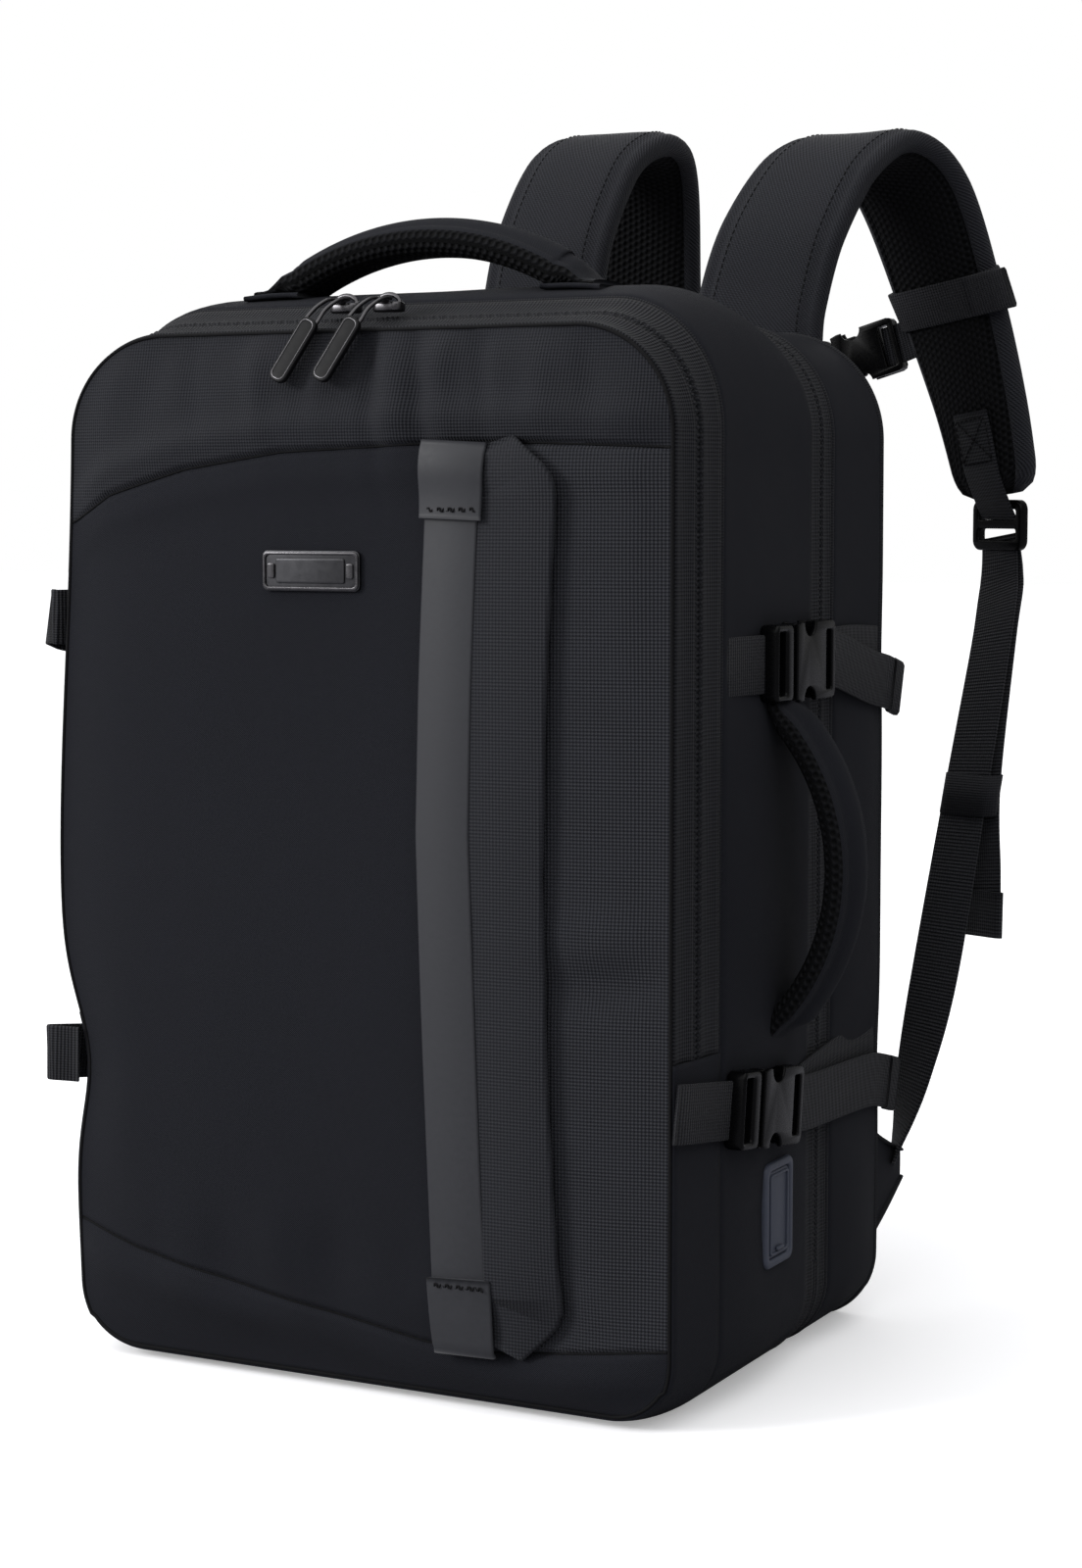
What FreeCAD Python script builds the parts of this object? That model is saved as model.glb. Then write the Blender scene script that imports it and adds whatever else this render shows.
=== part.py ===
"""Travel backpack: a soft boxy bag with a fold-down front lid, a rear laptop compartment,
buckled side straps, two carry handles, a covered charging port and a shoulder harness.

Millimetres. +X is the side with the carry handle, -Y the front, +Z up.
The origin is the middle of the bottom, on the surface that the bag stands on.
"""

import FreeCAD, Part
import Sketcher
import math
import os
import re

from FreeCAD import Placement, Rotation, Vector

doc = FreeCAD.newDocument("TravelBackpack")

# ---------------------------------------------------------------- driving dimensions

SIZES = {
    # the shell, seen from the front
    "body_width": 296,
    "body_height": 462,
    "top_radius": 48,
    "foot_radius": 32,
    # the shell from front to back, as y positions of its seams
    "front_face": -113,
    "lid_seam": -95,
    "main_seam": -76,
    "rear_seam_front": 18,
    "rear_seam_back": 44,
    "back_face": 104,
    "shell": 4,
    "tape": 3,
    "seam_gap": 0.4,
    "fold_height": 155,
    # inner parts
    "board": 2,
    "divider_y": 28,
    "divider_thick": 5,
    "liner_gap": 0.5,
    "stiffener_gap": 6,
    # trim on the front, as x positions and heights
    "trim_thick": 2.6,
    "trim_left": 34,
    "trim_width": 25,
    "trim_low": 28,
    "trim_top": 407,
    "flap_left": 61,
    "flap_width": 31,
    "flap_point": 20,
    "flap_slope": 16,
    "flap_thick": 3.4,
    "fold_relief": 5,
    "plate_x": -46,
    "plate_z": 346,
    "plate_width": 48,
    "plate_height": 18,
    "plate_thick": 2.4,
    # handles
    "top_handle_y": -50,
    "top_handle_width": 30,
    "top_handle_span": 148,
    "top_handle_rise": 41,
    "side_handle_y": -22,
    "side_handle_width": 34,
    "side_handle_low": 157,
    "side_handle_high": 298,
    "side_handle_bow": 38,
    "handle_thick": 14,
    "side_handle_thick": 12,
    "foot_thick": 2.4,
    "handle_lift": 9.5,
    # zipper sliders and pulls
    "slider_width": 9,
    "slider_length": 14,
    "slider_thick": 4.5,
    "slider_lift": 0.4,
    "slider_x_left": -18,
    "slider_x_right": 3,
    "pull_width": 9,
    "pull_length": 36,
    "pull_thick": 2.4,
    "pull_reach": 17,
    "rear_slider_x": 12,
    # charging port
    "port_y": -23,
    "port_z": 77,
    "port_width": 30,
    "port_height": 46,
    "port_thick": 6,
    "port_rim": 4,
    "port_cover": 2,
    # webbing and side buckles
    "webbing": 25,
    "webbing_thick": 1.8,
    "webbing_gap": 0.3,
    "socket_length": 44,
    "socket_width": 34,
    "socket_thick": 10,
    "mouth_depth": 24,
    "mouth_width": 26,
    "mouth_height": 5.6,
    "clip_length": 19,
    "clip_thick": 9,
    "prong_length": 19,
    "prong_width": 5,
    "prong_thick": 4.8,
    "upper_buckle_y": -23,
    "upper_buckle_z": 315,
    "upper_buckle_tilt": 0,
    "upper_sewn_z": 314,
    "upper_tail_z": 298,
    "lower_buckle_y": -56,
    "lower_buckle_z": 128.5,
    "lower_buckle_tilt": -7,
    "lower_sewn_z": 132,
    "lower_tail_z": 112,
    # harness
    "pad_width": 64,
    "pad_thick": 14,
    "lock_width": 36,
    "lock_height": 24,
    "lock_thick": 5,
    "tab_reach": 44,
    "tab_low": 38,
    "tab_high": 88,
    "tab_tip": 65,
    "tab_thick": 3,
    "tab_x": 143,
    "sternum_scale": 0.8,
    "sternum_slope": 0.3,
    "sternum_x": 78,
    "sternum_y": 225.5,
    "sternum_z": 452,
    "sternum_end": 172,
    "sternum_left_end": 52,
    "sternum_lie": 7.8,
    # back padding and luggage band
    "back_pad_thick": 12,
    "back_pad_low": 204,
    "back_pad_height": 200,
    "back_pad_width": 96,
    "back_pad_gap": 16,
    "lumbar_low": 42,
    "lumbar_height": 72,
    "band_low": 124,
    "band_height": 66,
    "band_half": 122,
    "band_stand": 7,
    "band_thick": 2,
    "band_sewn": 12,
}

sheet = doc.addObject("Spreadsheet::Sheet", "Sizes")
for row, (alias, value) in enumerate(SIZES.items(), start=1):
    sheet.set(f"A{row}", alias)
    sheet.set(f"B{row}", str(value))
    sheet.setAlias(f"B{row}", alias)
doc.recompute()


def size(alias):
    """One size, read back from the sheet."""
    return float(sheet.get(alias))


def named(expression):
    """The expression with each cell's alias spelt as a reference into the sheet."""
    return re.sub(r"[a-z]+(_[a-z]+)*", lambda word: f"Sizes.{word.group()}", str(expression))


def bind(obj, **expressions):
    """Ties an object's properties to the sheet. x, y and z stand for its position."""
    paths = {"x": "Placement.Base.x", "y": "Placement.Base.y", "z": "Placement.Base.z"}
    for prop, expression in expressions.items():
        obj.setExpression(paths.get(prop, prop), named(expression))


# ---------------------------------------------------------------- building blocks

nodes = []


def node(label, obj):
    """Names an object as one of the exported sub-parts."""
    obj.Label = label
    nodes.append(obj)
    return obj


def box(name, x, y, z, dx, dy, dz):
    """A box from its lowest corner and its size, all as sheet expressions."""
    made = doc.addObject("Part::Box", name)
    bind(made, x=x, y=y, z=z, Length=dx, Width=dy, Height=dz)
    return made


def boolean(kind, name, base, tool):
    made = doc.addObject(f"Part::{kind}", name)
    made.Base = base
    made.Tool = tool
    return made


def cut(name, base, tool):
    return boolean("Cut", name, base, tool)


def common(name, base, tool):
    return boolean("Common", name, base, tool)


def fuse(name, *shapes):
    made = doc.addObject("Part::MultiFuse", name)
    made.Shapes = list(shapes)
    return made


def group(name, *shapes):
    """Separate solids that are one sub-part."""
    made = doc.addObject("Part::Compound", name)
    made.Links = list(shapes)
    return made


def mirrored(name, source):
    """The same piece on the other side of the bag."""
    made = doc.addObject("Part::Mirroring", name)
    made.Source = source
    made.Normal = Vector(1, 0, 0)
    return made


def rounded(name, base, radius, picks):
    """Rounds the base's straight edges that run along one of the given directions."""
    doc.recompute()
    edges = []
    for number, edge in enumerate(base.Shape.Edges, start=1):
        if len(edge.Vertexes) < 2 or not isinstance(edge.Curve, Part.Line):
            continue
        along = edge.tangentAt(edge.FirstParameter)
        if any(abs(along.dot(pick)) > 0.999 for pick in picks):
            edges.append((number, radius, radius))
    made = doc.addObject("Part::Fillet", name)
    made.Base = base
    made.Edges = edges
    return made


def outline_sketch(name, inset):
    """The bag's outline seen from the front: a rectangle with large round corners, moved in by inset."""
    sketch = doc.addObject("Sketcher::SketchObject", name)
    inner = sum(size(word) for word in inset.split(" + ")) if inset else 0
    half = size("body_width") / 2 - inner
    low, high = inner, size("body_height") - inner
    top, foot = size("top_radius") - inner, size("foot_radius") - inner
    turn = math.pi / 2
    corners = [
        (half - foot, low + foot, foot, 3 * turn),
        (half - top, high - top, top, 0),
        (top - half, high - top, top, turn),
        (foot - half, low + foot, foot, 2 * turn),
    ]
    for x, y, radius, start in corners:
        circle = Part.Circle(Vector(x, y, 0), Vector(0, 0, 1), radius)
        sketch.addGeometry(Part.ArcOfCircle(circle, start, start + turn))
    ends = [
        (Vector(half, low + foot, 0), Vector(half, high - top, 0)),
        (Vector(half - top, high, 0), Vector(top - half, high, 0)),
        (Vector(-half, high - top, 0), Vector(-half, low + foot, 0)),
        (Vector(foot - half, low, 0), Vector(half - foot, low, 0)),
    ]
    for arc, (start, end) in enumerate(ends):
        line = sketch.addGeometry(Part.LineSegment(start, end))
        sketch.addConstraint(Sketcher.Constraint("Tangent", arc, 2, line, 1))
        sketch.addConstraint(Sketcher.Constraint("Tangent", line, 2, (arc + 1) % 4, 1))
    right, top_line, left, foot_line = 4, 5, 6, 7
    for kind, line in (("Vertical", right), ("Horizontal", top_line), ("Horizontal", foot_line)):
        sketch.addConstraint(Sketcher.Constraint(kind, line))
    sketch.addConstraint(Sketcher.Constraint("Equal", 1, 2))
    sketch.addConstraint(Sketcher.Constraint("Equal", 0, 3))
    less = f" - {inset.replace(' + ', ' - ')}" if inset else ""
    sized = [
        (Sketcher.Constraint("Radius", 1, top), f"top_radius{less}"),
        (Sketcher.Constraint("Radius", 0, foot), f"foot_radius{less}"),
        (Sketcher.Constraint("DistanceX", -1, 1, right, 1, half), f"body_width / 2{less}"),
        (Sketcher.Constraint("DistanceX", left, 1, -1, 1, half), f"body_width / 2{less}"),
        (Sketcher.Constraint("DistanceY", -1, 1, top_line, 1, high), f"body_height{less}"),
    ]
    for constraint, expression in sized:
        number = sketch.addConstraint(constraint)
        sketch.setExpression(f"Constraints[{number}]", named(expression))
    if inset:
        number = sketch.addConstraint(Sketcher.Constraint("DistanceY", -1, 1, foot_line, 1, low))
        sketch.setExpression(f"Constraints[{number}]", named(inset))
    else:
        sketch.addConstraint(Sketcher.Constraint("PointOnObject", foot_line, 1, -1))
    return sketch


def slab(name, inset, start, depth):
    """The bag's outline, moved in by inset, as a solid that runs back from y = start."""
    sketch = outline_sketch(f"{name}_outline", inset)
    sketch.Placement = Placement(Vector(), Rotation(Vector(1, 0, 0), 90))
    bind(sketch, y=start)
    made = doc.addObject("Part::Extrusion", name)
    made.Base = sketch
    made.DirMode = "Custom"
    made.Dir = Vector(0, 1, 0)
    made.Solid = True
    bind(made, LengthFwd=depth)
    return made


def hoop(name, wall, start, depth):
    """A strip of the shell that runs right round the outline."""
    outer = slab(f"{name}_outer", "", start, depth)
    inner = slab(f"{name}_inner", wall, start, depth)
    return cut(name, outer, inner)


def above(name, shape, height):
    """The part of a shape above a height."""
    keep = box(f"{name}_keep", "-body_width", "front_face - 20", height, "2 * body_width", "400", "600")
    return common(name, shape, keep)


def below(name, shape, height):
    """The part of a shape below a height."""
    keep = box(f"{name}_keep", "-body_width", "front_face - 20", "-20", "2 * body_width", "400", f"20 + {height}")
    return common(name, shape, keep)


def prism(name, corners, direction, length):
    """A flat outline of a few corners, pushed out along a direction."""
    points = [Vector(*corner) for corner in corners]
    face = Part.Face(Part.makePolygon(points + points[:1]))
    made = doc.addObject("Part::Feature", name)
    made.Shape = face.extrude(Vector(*direction) * length)
    return made


def band(name, stations, width, thick):
    """A flat strap through hand-placed stations (x, y, z, yaw): yaw turns its width about +Z."""
    centres = [Vector(x, y, z) for x, y, z, _ in stations]
    wires = []
    for number, centre in enumerate(centres):
        before = centres[max(number - 1, 0)]
        after = centres[min(number + 1, len(centres) - 1)]
        along = (after - before).normalize()
        yaw = math.radians(stations[number][3])
        across = Vector(math.cos(yaw), math.sin(yaw), 0)
        across = (across - along * across.dot(along)).normalize()
        normal = along.cross(across)
        a, b = across * (width / 2), normal * (thick / 2)
        corners = [centre - a - b, centre + a - b, centre + a + b, centre - a + b]
        wires.append(Part.makePolygon(corners + corners[:1]))
    made = doc.addObject("Part::Feature", name)
    made.Shape = Part.makeLoft(wires, True, True)
    return made


# ---------------------------------------------------------------- shell of the bag

rim = "body_height - top_radius"
side_in = "body_width / 2 - shell"


def build_shell():
    depth = "rear_seam_front - main_seam"
    crown = hoop("crown_hoop", "shell", "main_seam", depth)
    node("top_gusset", above("top_gusset", crown, rim))
    height = f"{rim} - foot_radius"
    right = box("right_gusset", side_in, "main_seam", "foot_radius", "shell", depth, height)
    node("right_gusset", right)
    node("left_gusset", mirrored("left_gusset", right))
    base = hoop("base_hoop", "shell", "main_seam", "back_face - shell - main_seam")
    node("bottom_panel", below("bottom_panel", base, "foot_radius"))
    zip_depth = "rear_seam_back - rear_seam_front"
    rear_zip = hoop("rear_zip_hoop", "tape", "rear_seam_front", zip_depth)
    node("rear_zip_tape", above("rear_zip_tape", rear_zip, "foot_radius"))
    rear = hoop("rear_hoop", "shell", "rear_seam_back", "back_face - shell - rear_seam_back")
    node("rear_gusset", above("rear_gusset", rear, "foot_radius"))
    node("back_panel", slab("back_panel", "", "back_face - shell", "shell"))


def build_front():
    """The front below the fold is part of the bag, and above it is the lid."""
    outer = slab("front_outer", "", "front_face", "main_seam - front_face")
    inner = slab("front_inner", "shell", "front_face + shell", "main_seam - front_face")
    tray = cut("front_tray", outer, inner)
    node("front_lower_panel", below("front_lower_panel", tray, "fold_height - seam_gap"))
    bag_tape = hoop("bag_tape_hoop", "tape", "lid_seam + seam_gap", "main_seam - lid_seam - seam_gap")
    node("main_zip_tape_bag", above("main_zip_tape_bag", bag_tape, "fold_height - seam_gap"))
    sheet_front = slab("front_sheet", "", "front_face", "shell")
    node("front_panel", above("front_panel", sheet_front, "fold_height"))
    lid_tape = hoop("lid_tape_hoop", "tape", "front_face + shell", "lid_seam - front_face - shell")
    node("main_zip_tape_lid", above("main_zip_tape_lid", lid_tape, "fold_height"))


def build_inside():
    floor = box(
        "base_board",
        "foot_radius - body_width / 2",
        "front_face + 2 * shell",
        "shell + 0.2",
        "body_width - 2 * foot_radius",
        "divider_y - front_face - 3 * shell",
        "board",
    )
    node("base_board", floor)
    divider = slab("laptop_divider", "shell + liner_gap", "divider_y", "divider_thick")
    node("laptop_divider", divider)
    stiff = slab("back_stiffener", "shell + stiffener_gap", "back_face - shell - board - 0.2", "board")
    node("back_stiffener", stiff)


# ---------------------------------------------------------------- trim on the front

def build_trim():
    """Two strips down the front, each in two lengths so that the lid can fold between them."""
    proud = "front_face - trim_thick"
    upper = box(
        "trim_strap", "trim_left", proud, "fold_height + fold_relief",
        "trim_width", "trim_thick", "trim_top - fold_height - fold_relief",
    )
    node("trim_strap", upper)
    lower = box(
        "trim_strap_lower", "trim_left", proud, "trim_low",
        "trim_width", "trim_thick", "fold_height - fold_relief - trim_low",
    )
    node("trim_strap_lower", lower)
    left = size("flap_left")
    right = left + size("flap_width")
    point = left + size("flap_point") / 2
    face = size("front_face") - size("flap_thick")
    slope, top, low = size("flap_slope"), size("trim_top"), size("trim_low")
    over = size("fold_height") + size("fold_relief")
    under = size("fold_height") - size("fold_relief")
    flap = [(left, over), (right, over), (right, top - slope), (point, top), (left, top)]
    flap_low = [(left, under), (right, under), (right, low + slope), (point, low), (left, low)]
    for label, outline in (("pocket_flap", flap), ("pocket_flap_lower", flap_low)):
        corners = [(x, face, z) for x, z in outline]
        node(label, prism(label, corners, (0, 1, 0), size("flap_thick")))
    plate = box(
        "name_plate_blank", "plate_x", "front_face - plate_thick", "plate_z",
        "plate_width", "plate_thick", "plate_height",
    )
    node("name_plate", rounded("name_plate", plate, 3, [Vector(0, 1, 0)]))


# ---------------------------------------------------------------- handles

def arch(name, span, rise, thick, width):
    """A bowed band that stands on the XY plane: a slice of a ring whose axis runs along Y."""
    half, height = span / 2, rise
    outer = (half * half + height * height) / (2 * height)
    rings = []
    for part, radius in (("outer", outer), ("inner", outer - thick)):
        ring = doc.addObject("Part::Cylinder", f"{name}_{part}")
        ring.Radius = radius
        ring.Height = width
        ring.Placement = Placement(Vector(0, -width / 2, height - outer), Rotation(Vector(1, 0, 0), -90))
        rings.append(ring)
    return cut(f"{name}_ring", *rings)


def build_handles():
    lift = size("handle_lift")
    ring = arch(
        "top_handle", size("top_handle_span"), size("top_handle_rise"),
        size("handle_thick"), size("top_handle_width"),
    )
    keep = box("top_handle_keep", "-200", "-200", "handle_lift", "400", "400", "200")
    grip = node("top_handle", common("top_handle", ring, keep))
    bind(grip, y="top_handle_y", z="body_height")

    ring = arch(
        "side_handle", size("side_handle_high") - size("side_handle_low"), size("side_handle_bow"),
        size("side_handle_thick"), size("side_handle_width"),
    )
    keep = box("side_handle_keep", "-200", "-200", "handle_lift", "400", "400", "200")
    grip = node("side_handle", common("side_handle", ring, keep))
    grip.Placement = Placement(Vector(0, 0, 0), Rotation(Vector(0, 1, 0), 90))
    bind(grip, x="body_width / 2", y="side_handle_y", z="( side_handle_high + side_handle_low ) / 2")

    feet = []
    for side, start in (("left", "0 - top_handle_span / 2 - 14"), ("right", "top_handle_span / 2 - 12")):
        feet.append(box(
            f"top_foot_{side}", start, "top_handle_y - top_handle_width / 2", "body_height + 0.1",
            "26", "top_handle_width", "foot_thick",
        ))
    for side, start in (("low", "side_handle_low - 7"), ("high", "side_handle_high - 14")):
        feet.append(box(
            f"side_foot_{side}", "body_width / 2 + 0.1", "side_handle_y - side_handle_width / 2", start,
            "foot_thick", "side_handle_width", "13",
        ))
    node("handle_feet", group("handle_feet", *feet))


# ---------------------------------------------------------------- zipper sliders and pulls

def slider(label, x, y):
    """A slider that rides on the tape: its length runs along the zipper."""
    block = box(
        f"{label}_block", f"{x} - slider_length / 2", f"{y} - slider_width / 2", "body_height + slider_lift",
        "slider_length", "slider_width", "slider_thick",
    )
    return node(label, rounded(label, block, 1.6, [Vector(0, 0, 1)]))


def build_sliders():
    over = "body_height + slider_lift + slider_thick + 0.6"
    for side in ("left", "right"):
        x = f"slider_x_{side}"
        slider(f"slider_{side}", x, "lid_seam")
        link = box(
            f"pull_{side}_link", f"{x} - 2", "lid_seam - pull_reach - 5", over,
            "4", "pull_reach + 3", "pull_thick",
        )
        tab = box(
            f"pull_{side}_tab", f"{x} - pull_width / 2", "lid_seam - pull_reach - 5 - pull_thick",
            f"{over} + pull_thick - pull_length", "pull_width", "pull_thick", "pull_length",
        )
        node(f"pull_{side}", fuse(f"pull_{side}", link, tab))
    middle = "( rear_seam_front + rear_seam_back ) / 2"
    for side, x in (("left", "0 - rear_slider_x"), ("right", "rear_slider_x")):
        slider(f"rear_slider_{side}", x, middle)
        tab = box(
            f"rear_pull_{side}_blank", f"{x} - pull_width / 2", f"{middle} + slider_width / 2 + 1.3",
            "body_height + slider_lift + 0.3", "pull_width", "pull_length", "pull_thick",
        )
        node(f"rear_pull_{side}", rounded(f"rear_pull_{side}", tab, 3, [Vector(0, 0, 1)]))


# ---------------------------------------------------------------- charging port

def build_port():
    low_y, low_z = "port_y - port_width / 2", "port_z - port_height / 2"
    body = box(
        "port_body", "body_width / 2 + 0.1", low_y, low_z,
        "port_thick", "port_width", "port_height",
    )
    smooth = rounded("port_smooth", body, 4, [Vector(1, 0, 0)])
    well = box(
        "port_well", "body_width / 2 + port_thick - port_cover - 0.3", f"{low_y} + port_rim",
        f"{low_z} + port_rim", "20", "port_width - 2 * port_rim", "port_height - 2 * port_rim",
    )
    recess = cut("port_recess", smooth, well)
    slot = box("port_slot", "body_width / 2 + 0.9", "port_y - 6.5", "port_z - 2.5", "20", "13", "5")
    node("port_housing", cut("port_housing", recess, slot))
    cover = box(
        "port_cover", "body_width / 2 + port_thick - port_cover + 0.1", f"{low_y} + port_rim + 0.4",
        f"{low_z} + port_rim + 0.4", "port_cover",
        "port_width - 2 * port_rim - 0.8", "port_height - 2 * port_rim - 0.8",
    )
    node("port_cover", cover)


# ---------------------------------------------------------------- buckles
# A buckle is drawn about the middle of its mouth: X is its thickness, +Y the socket's side.

def feature(name, shape):
    made = doc.addObject("Part::Feature", name)
    made.Shape = shape
    return made


def slab_about(thick, start, end, width):
    """A plate that is centred in X and Z and runs from y = start to y = end."""
    return Part.makeBox(thick, end - start, width, Vector(-thick / 2, start, -width / 2))


def long_edges(shape):
    return [edge for edge in shape.Edges if abs(edge.tangentAt(edge.FirstParameter).y) > 0.9]


def socket_shape(scale=1.0):
    """The female half: a flat box with a mouth, two side windows and a ladder for the webbing."""
    length, width, thick = (size(f"socket_{word}") for word in ("length", "width", "thick"))
    mouth, mouth_w, mouth_h = (size(f"mouth_{word}") for word in ("depth", "width", "height"))
    body = slab_about(thick, 0, length, width)
    body = body.makeFillet(2.2, long_edges(body))
    body = body.cut(slab_about(mouth_h, -1, mouth, mouth_w))
    body = body.cut(slab_about(mouth_h, mouth * 0.3, mouth * 0.85, width + 2))
    for start in (length - 7, length - 15):
        body = body.cut(slab_about(thick + 2, start, start + 4, mouth_w + 0.5))
    return body.scaled(scale)


def clip_shape(scale=1.0):
    """The male half: a bar for the webbing, a middle tongue and two sprung prongs."""
    length, thick = size("clip_length"), size("clip_thick")
    reach, prong_w, prong_t = (size(f"prong_{word}") for word in ("length", "width", "thick"))
    gap = size("seam_gap")
    made = slab_about(thick, -length - gap, -gap, size("socket_width"))
    made = made.makeFillet(2.0, long_edges(made))
    made = made.cut(slab_about(thick + 2, 3 - length - gap, 8 - length - gap, size("mouth_width") + 0.5))
    outer = size("mouth_width") / 2 - 0.5
    for low, high in ((outer - prong_w, outer), (-outer, prong_w - outer), (-2, 2)):
        made = made.fuse(Part.makeBox(prong_t, reach + 2, high - low, Vector(-prong_t / 2, -gap - 2, low)))
    return made.removeSplitter().scaled(scale)


def turned(x_sign, tilt):
    """A buckle on the side of the bag: tilted about X, and turned to face out on its side."""
    turn = Rotation(Vector(1, 0, 0), tilt)
    if x_sign < 0:
        turn = turn.multiply(Rotation(Vector(0, 1, 0), 180))
    return turn


def strap_piece(name, x_sign, x, start, end, drop=0):
    """Flat webbing on the side of the bag, between two (y, z) points on its middle line."""
    half, thick = size("webbing") / 2, size("webbing_thick")
    low = x if x_sign > 0 else -x - thick
    corners = [
        (low, start[0], start[1] - half),
        (low, end[0], end[1] - half),
        (low, end[0], end[1] + half),
        (low, start[0], start[1] + half),
    ]
    return prism(name, corners, (1, 0, 0), thick)


def build_side_straps():
    face = size("body_width") / 2 + size("webbing_gap")
    thick = size("webbing_thick")
    middle = face + thick + size("webbing_gap") + size("socket_thick") / 2
    back = size("back_face")
    length = size("socket_length")
    starts = {"upper": size("main_seam"), "lower": size("front_face")}
    sockets, anchors, runs = [], [], []
    for row, front in starts.items():
        y, z, tilt = (size(f"{row}_buckle_{word}") for word in ("y", "z", "tilt"))
        slope = math.tan(math.radians(tilt))

        def on_line(at):
            return (at, z + slope * (at - y))

        for side, sign in (("right", 1), ("left", -1)):
            name = f"{row}_{side}"
            here = Placement(Vector(sign * middle, y, z), turned(sign, tilt))
            socket = feature(f"socket_{name}", socket_shape())
            socket.Placement = here
            sockets.append(socket)
            clip = feature(f"clip_{name}", clip_shape())
            clip.Placement = here
            node(f"clip_{name}", clip)
            start, end = on_line(front), on_line(y - 4)
            anchors.append(strap_piece(f"anchor_{name}", sign, face, start, end))
            exit_at = on_line(y + length - 14)
            sewn = (back - 0.5, size(f"{row}_sewn_z"))
            runs.append(strap_piece(f"run_{name}", sign, face, exit_at, sewn))
            tail = (back + 8, size(f"{row}_tail_z"))
            runs.append(strap_piece(f"tail_{name}", sign, face + thick, on_line(y + length + 1), tail))
    node("buckle_sockets", group("buckle_sockets", *sockets))
    node("strap_anchors", group("strap_anchors", *anchors))
    node("compression_webbing", group("compression_webbing", *runs))


# ---------------------------------------------------------------- shoulder harness
# Stations are (x, y, z, yaw) on a band's middle line, and yaw turns its width about Z.
# The two pads don't hang alike: both lean to the bag's right as they rise.
# "adjuster" runs from the ladder lock down to the tab at the foot of the bag, and "tail" is the
# same webbing's loose end, which hangs from the lock outside the other length.

HARNESS = {
    "right": {
        "root": [(82, 111.5, 432, 0), (83, 112.5, 450, 0), (83, 112.5, 465, 0)],
        "pad": [
            (83, 113.5, 470, 0),
            (83, 113.5, 474, 0),
            (92, 122, 510, 0),
            (104, 141, 541, -3),
            (117, 166, 550, -6),
            (130, 191, 532, -13),
            (143, 210, 482, -20),
            (156, 219, 432, -26),
            (165, 224, 385, -30),
        ],
        "adjuster": [
            (166, 223, 354, -30),
            (169, 203, 310, -24),
            (171, 177, 247, -14),
            (164, 154, 158, -6),
            (155, 150, 108, -2),
            (149, 149, 76, 0),
        ],
        "tail": [(168, 227, 354, -30), (173, 209, 310, -26), (178, 190, 247, -24), (184, 176, 178, -24)],
    },
    "left": {
        "root": [(-37, 111.5, 432, 0), (-32, 112.5, 450, 0), (-32, 112.5, 465, 0)],
        "pad": [
            (-32, 113.5, 470, 0),
            (-32, 113.5, 474, 0),
            (-28, 119, 508, 0),
            (-20, 137, 546, 0),
            (-12, 164, 558, 0),
            (-16, 190, 546, 0),
            (-22, 207, 505, 0),
            (-27, 220, 445, 4),
            (-37, 228, 385, 8),
        ],
        "adjuster": [
            (-38, 227, 354, 8),
            (-52, 207, 310, 10),
            (-84, 179, 247, 8),
            (-122, 156, 158, 4),
            (-144, 150, 108, 0),
            (-149, 149, 76, 0),
        ],
        "tail": [(-38, 231, 354, 8), (-44, 216, 310, 10), (-52, 200, 247, 10), (-58, 188, 178, 8)],
    },
}


def lock_shape():
    """A ladder lock: a flat frame with two slots."""
    wide, high, thick = (size(f"lock_{word}") for word in ("width", "height", "thick"))
    frame = Part.makeBox(wide, thick, high, Vector(-wide / 2, -thick / 2, -high / 2))
    slot_w = size("webbing") + 1.5
    for low in (4 - high / 2, 2):
        slot = Part.makeBox(slot_w, thick + 2, 5, Vector(-slot_w / 2, -thick / 2 - 1, low))
        frame = frame.cut(slot)
    return frame


def build_harness():
    width, thick = size("pad_width"), size("pad_thick")
    strap_w, strap_t = size("webbing"), size("webbing_thick")
    roots = []
    for side, out in (("right", 1), ("left", -1)):
        path = HARNESS[side]
        roots.append(band(f"pad_root_{side}", path["root"], width, thick))
        node(f"shoulder_pad_{side}", band(f"shoulder_pad_{side}", path["pad"], width, thick))
        lock = feature(f"ladder_lock_{side}", lock_shape())
        x, y, z, yaw = path["pad"][-1]
        at = Vector(x + 0.6 * out, y + 0.6, z - size("lock_height") / 2 - 3)
        lock.Placement = Placement(at, Rotation(Vector(0, 0, 1), yaw))
        node(f"ladder_lock_{side}", lock)
        main = band(f"adjuster_main_{side}", path["adjuster"], strap_w, strap_t)
        loose = band(f"adjuster_tail_{side}", path["tail"], strap_w, strap_t)
        node(f"adjuster_webbing_{side}", group(f"adjuster_webbing_{side}", main, loose))
    node("pad_roots", group("pad_roots", *roots))

    back = size("back_face")
    corners = [
        (size("tab_x"), back + 0.1, size("tab_low")),
        (size("tab_x"), back + 0.1, size("tab_high")),
        (size("tab_x"), back + size("tab_reach"), size("tab_tip")),
    ]
    tab = prism("anchor_tab_right", corners, (1, 0, 0), size("tab_thick"))
    node("anchor_tabs", group("anchor_tabs", tab, mirrored("anchor_tab_left", tab)))


# ---------------------------------------------------------------- chest strap between the pads

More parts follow.
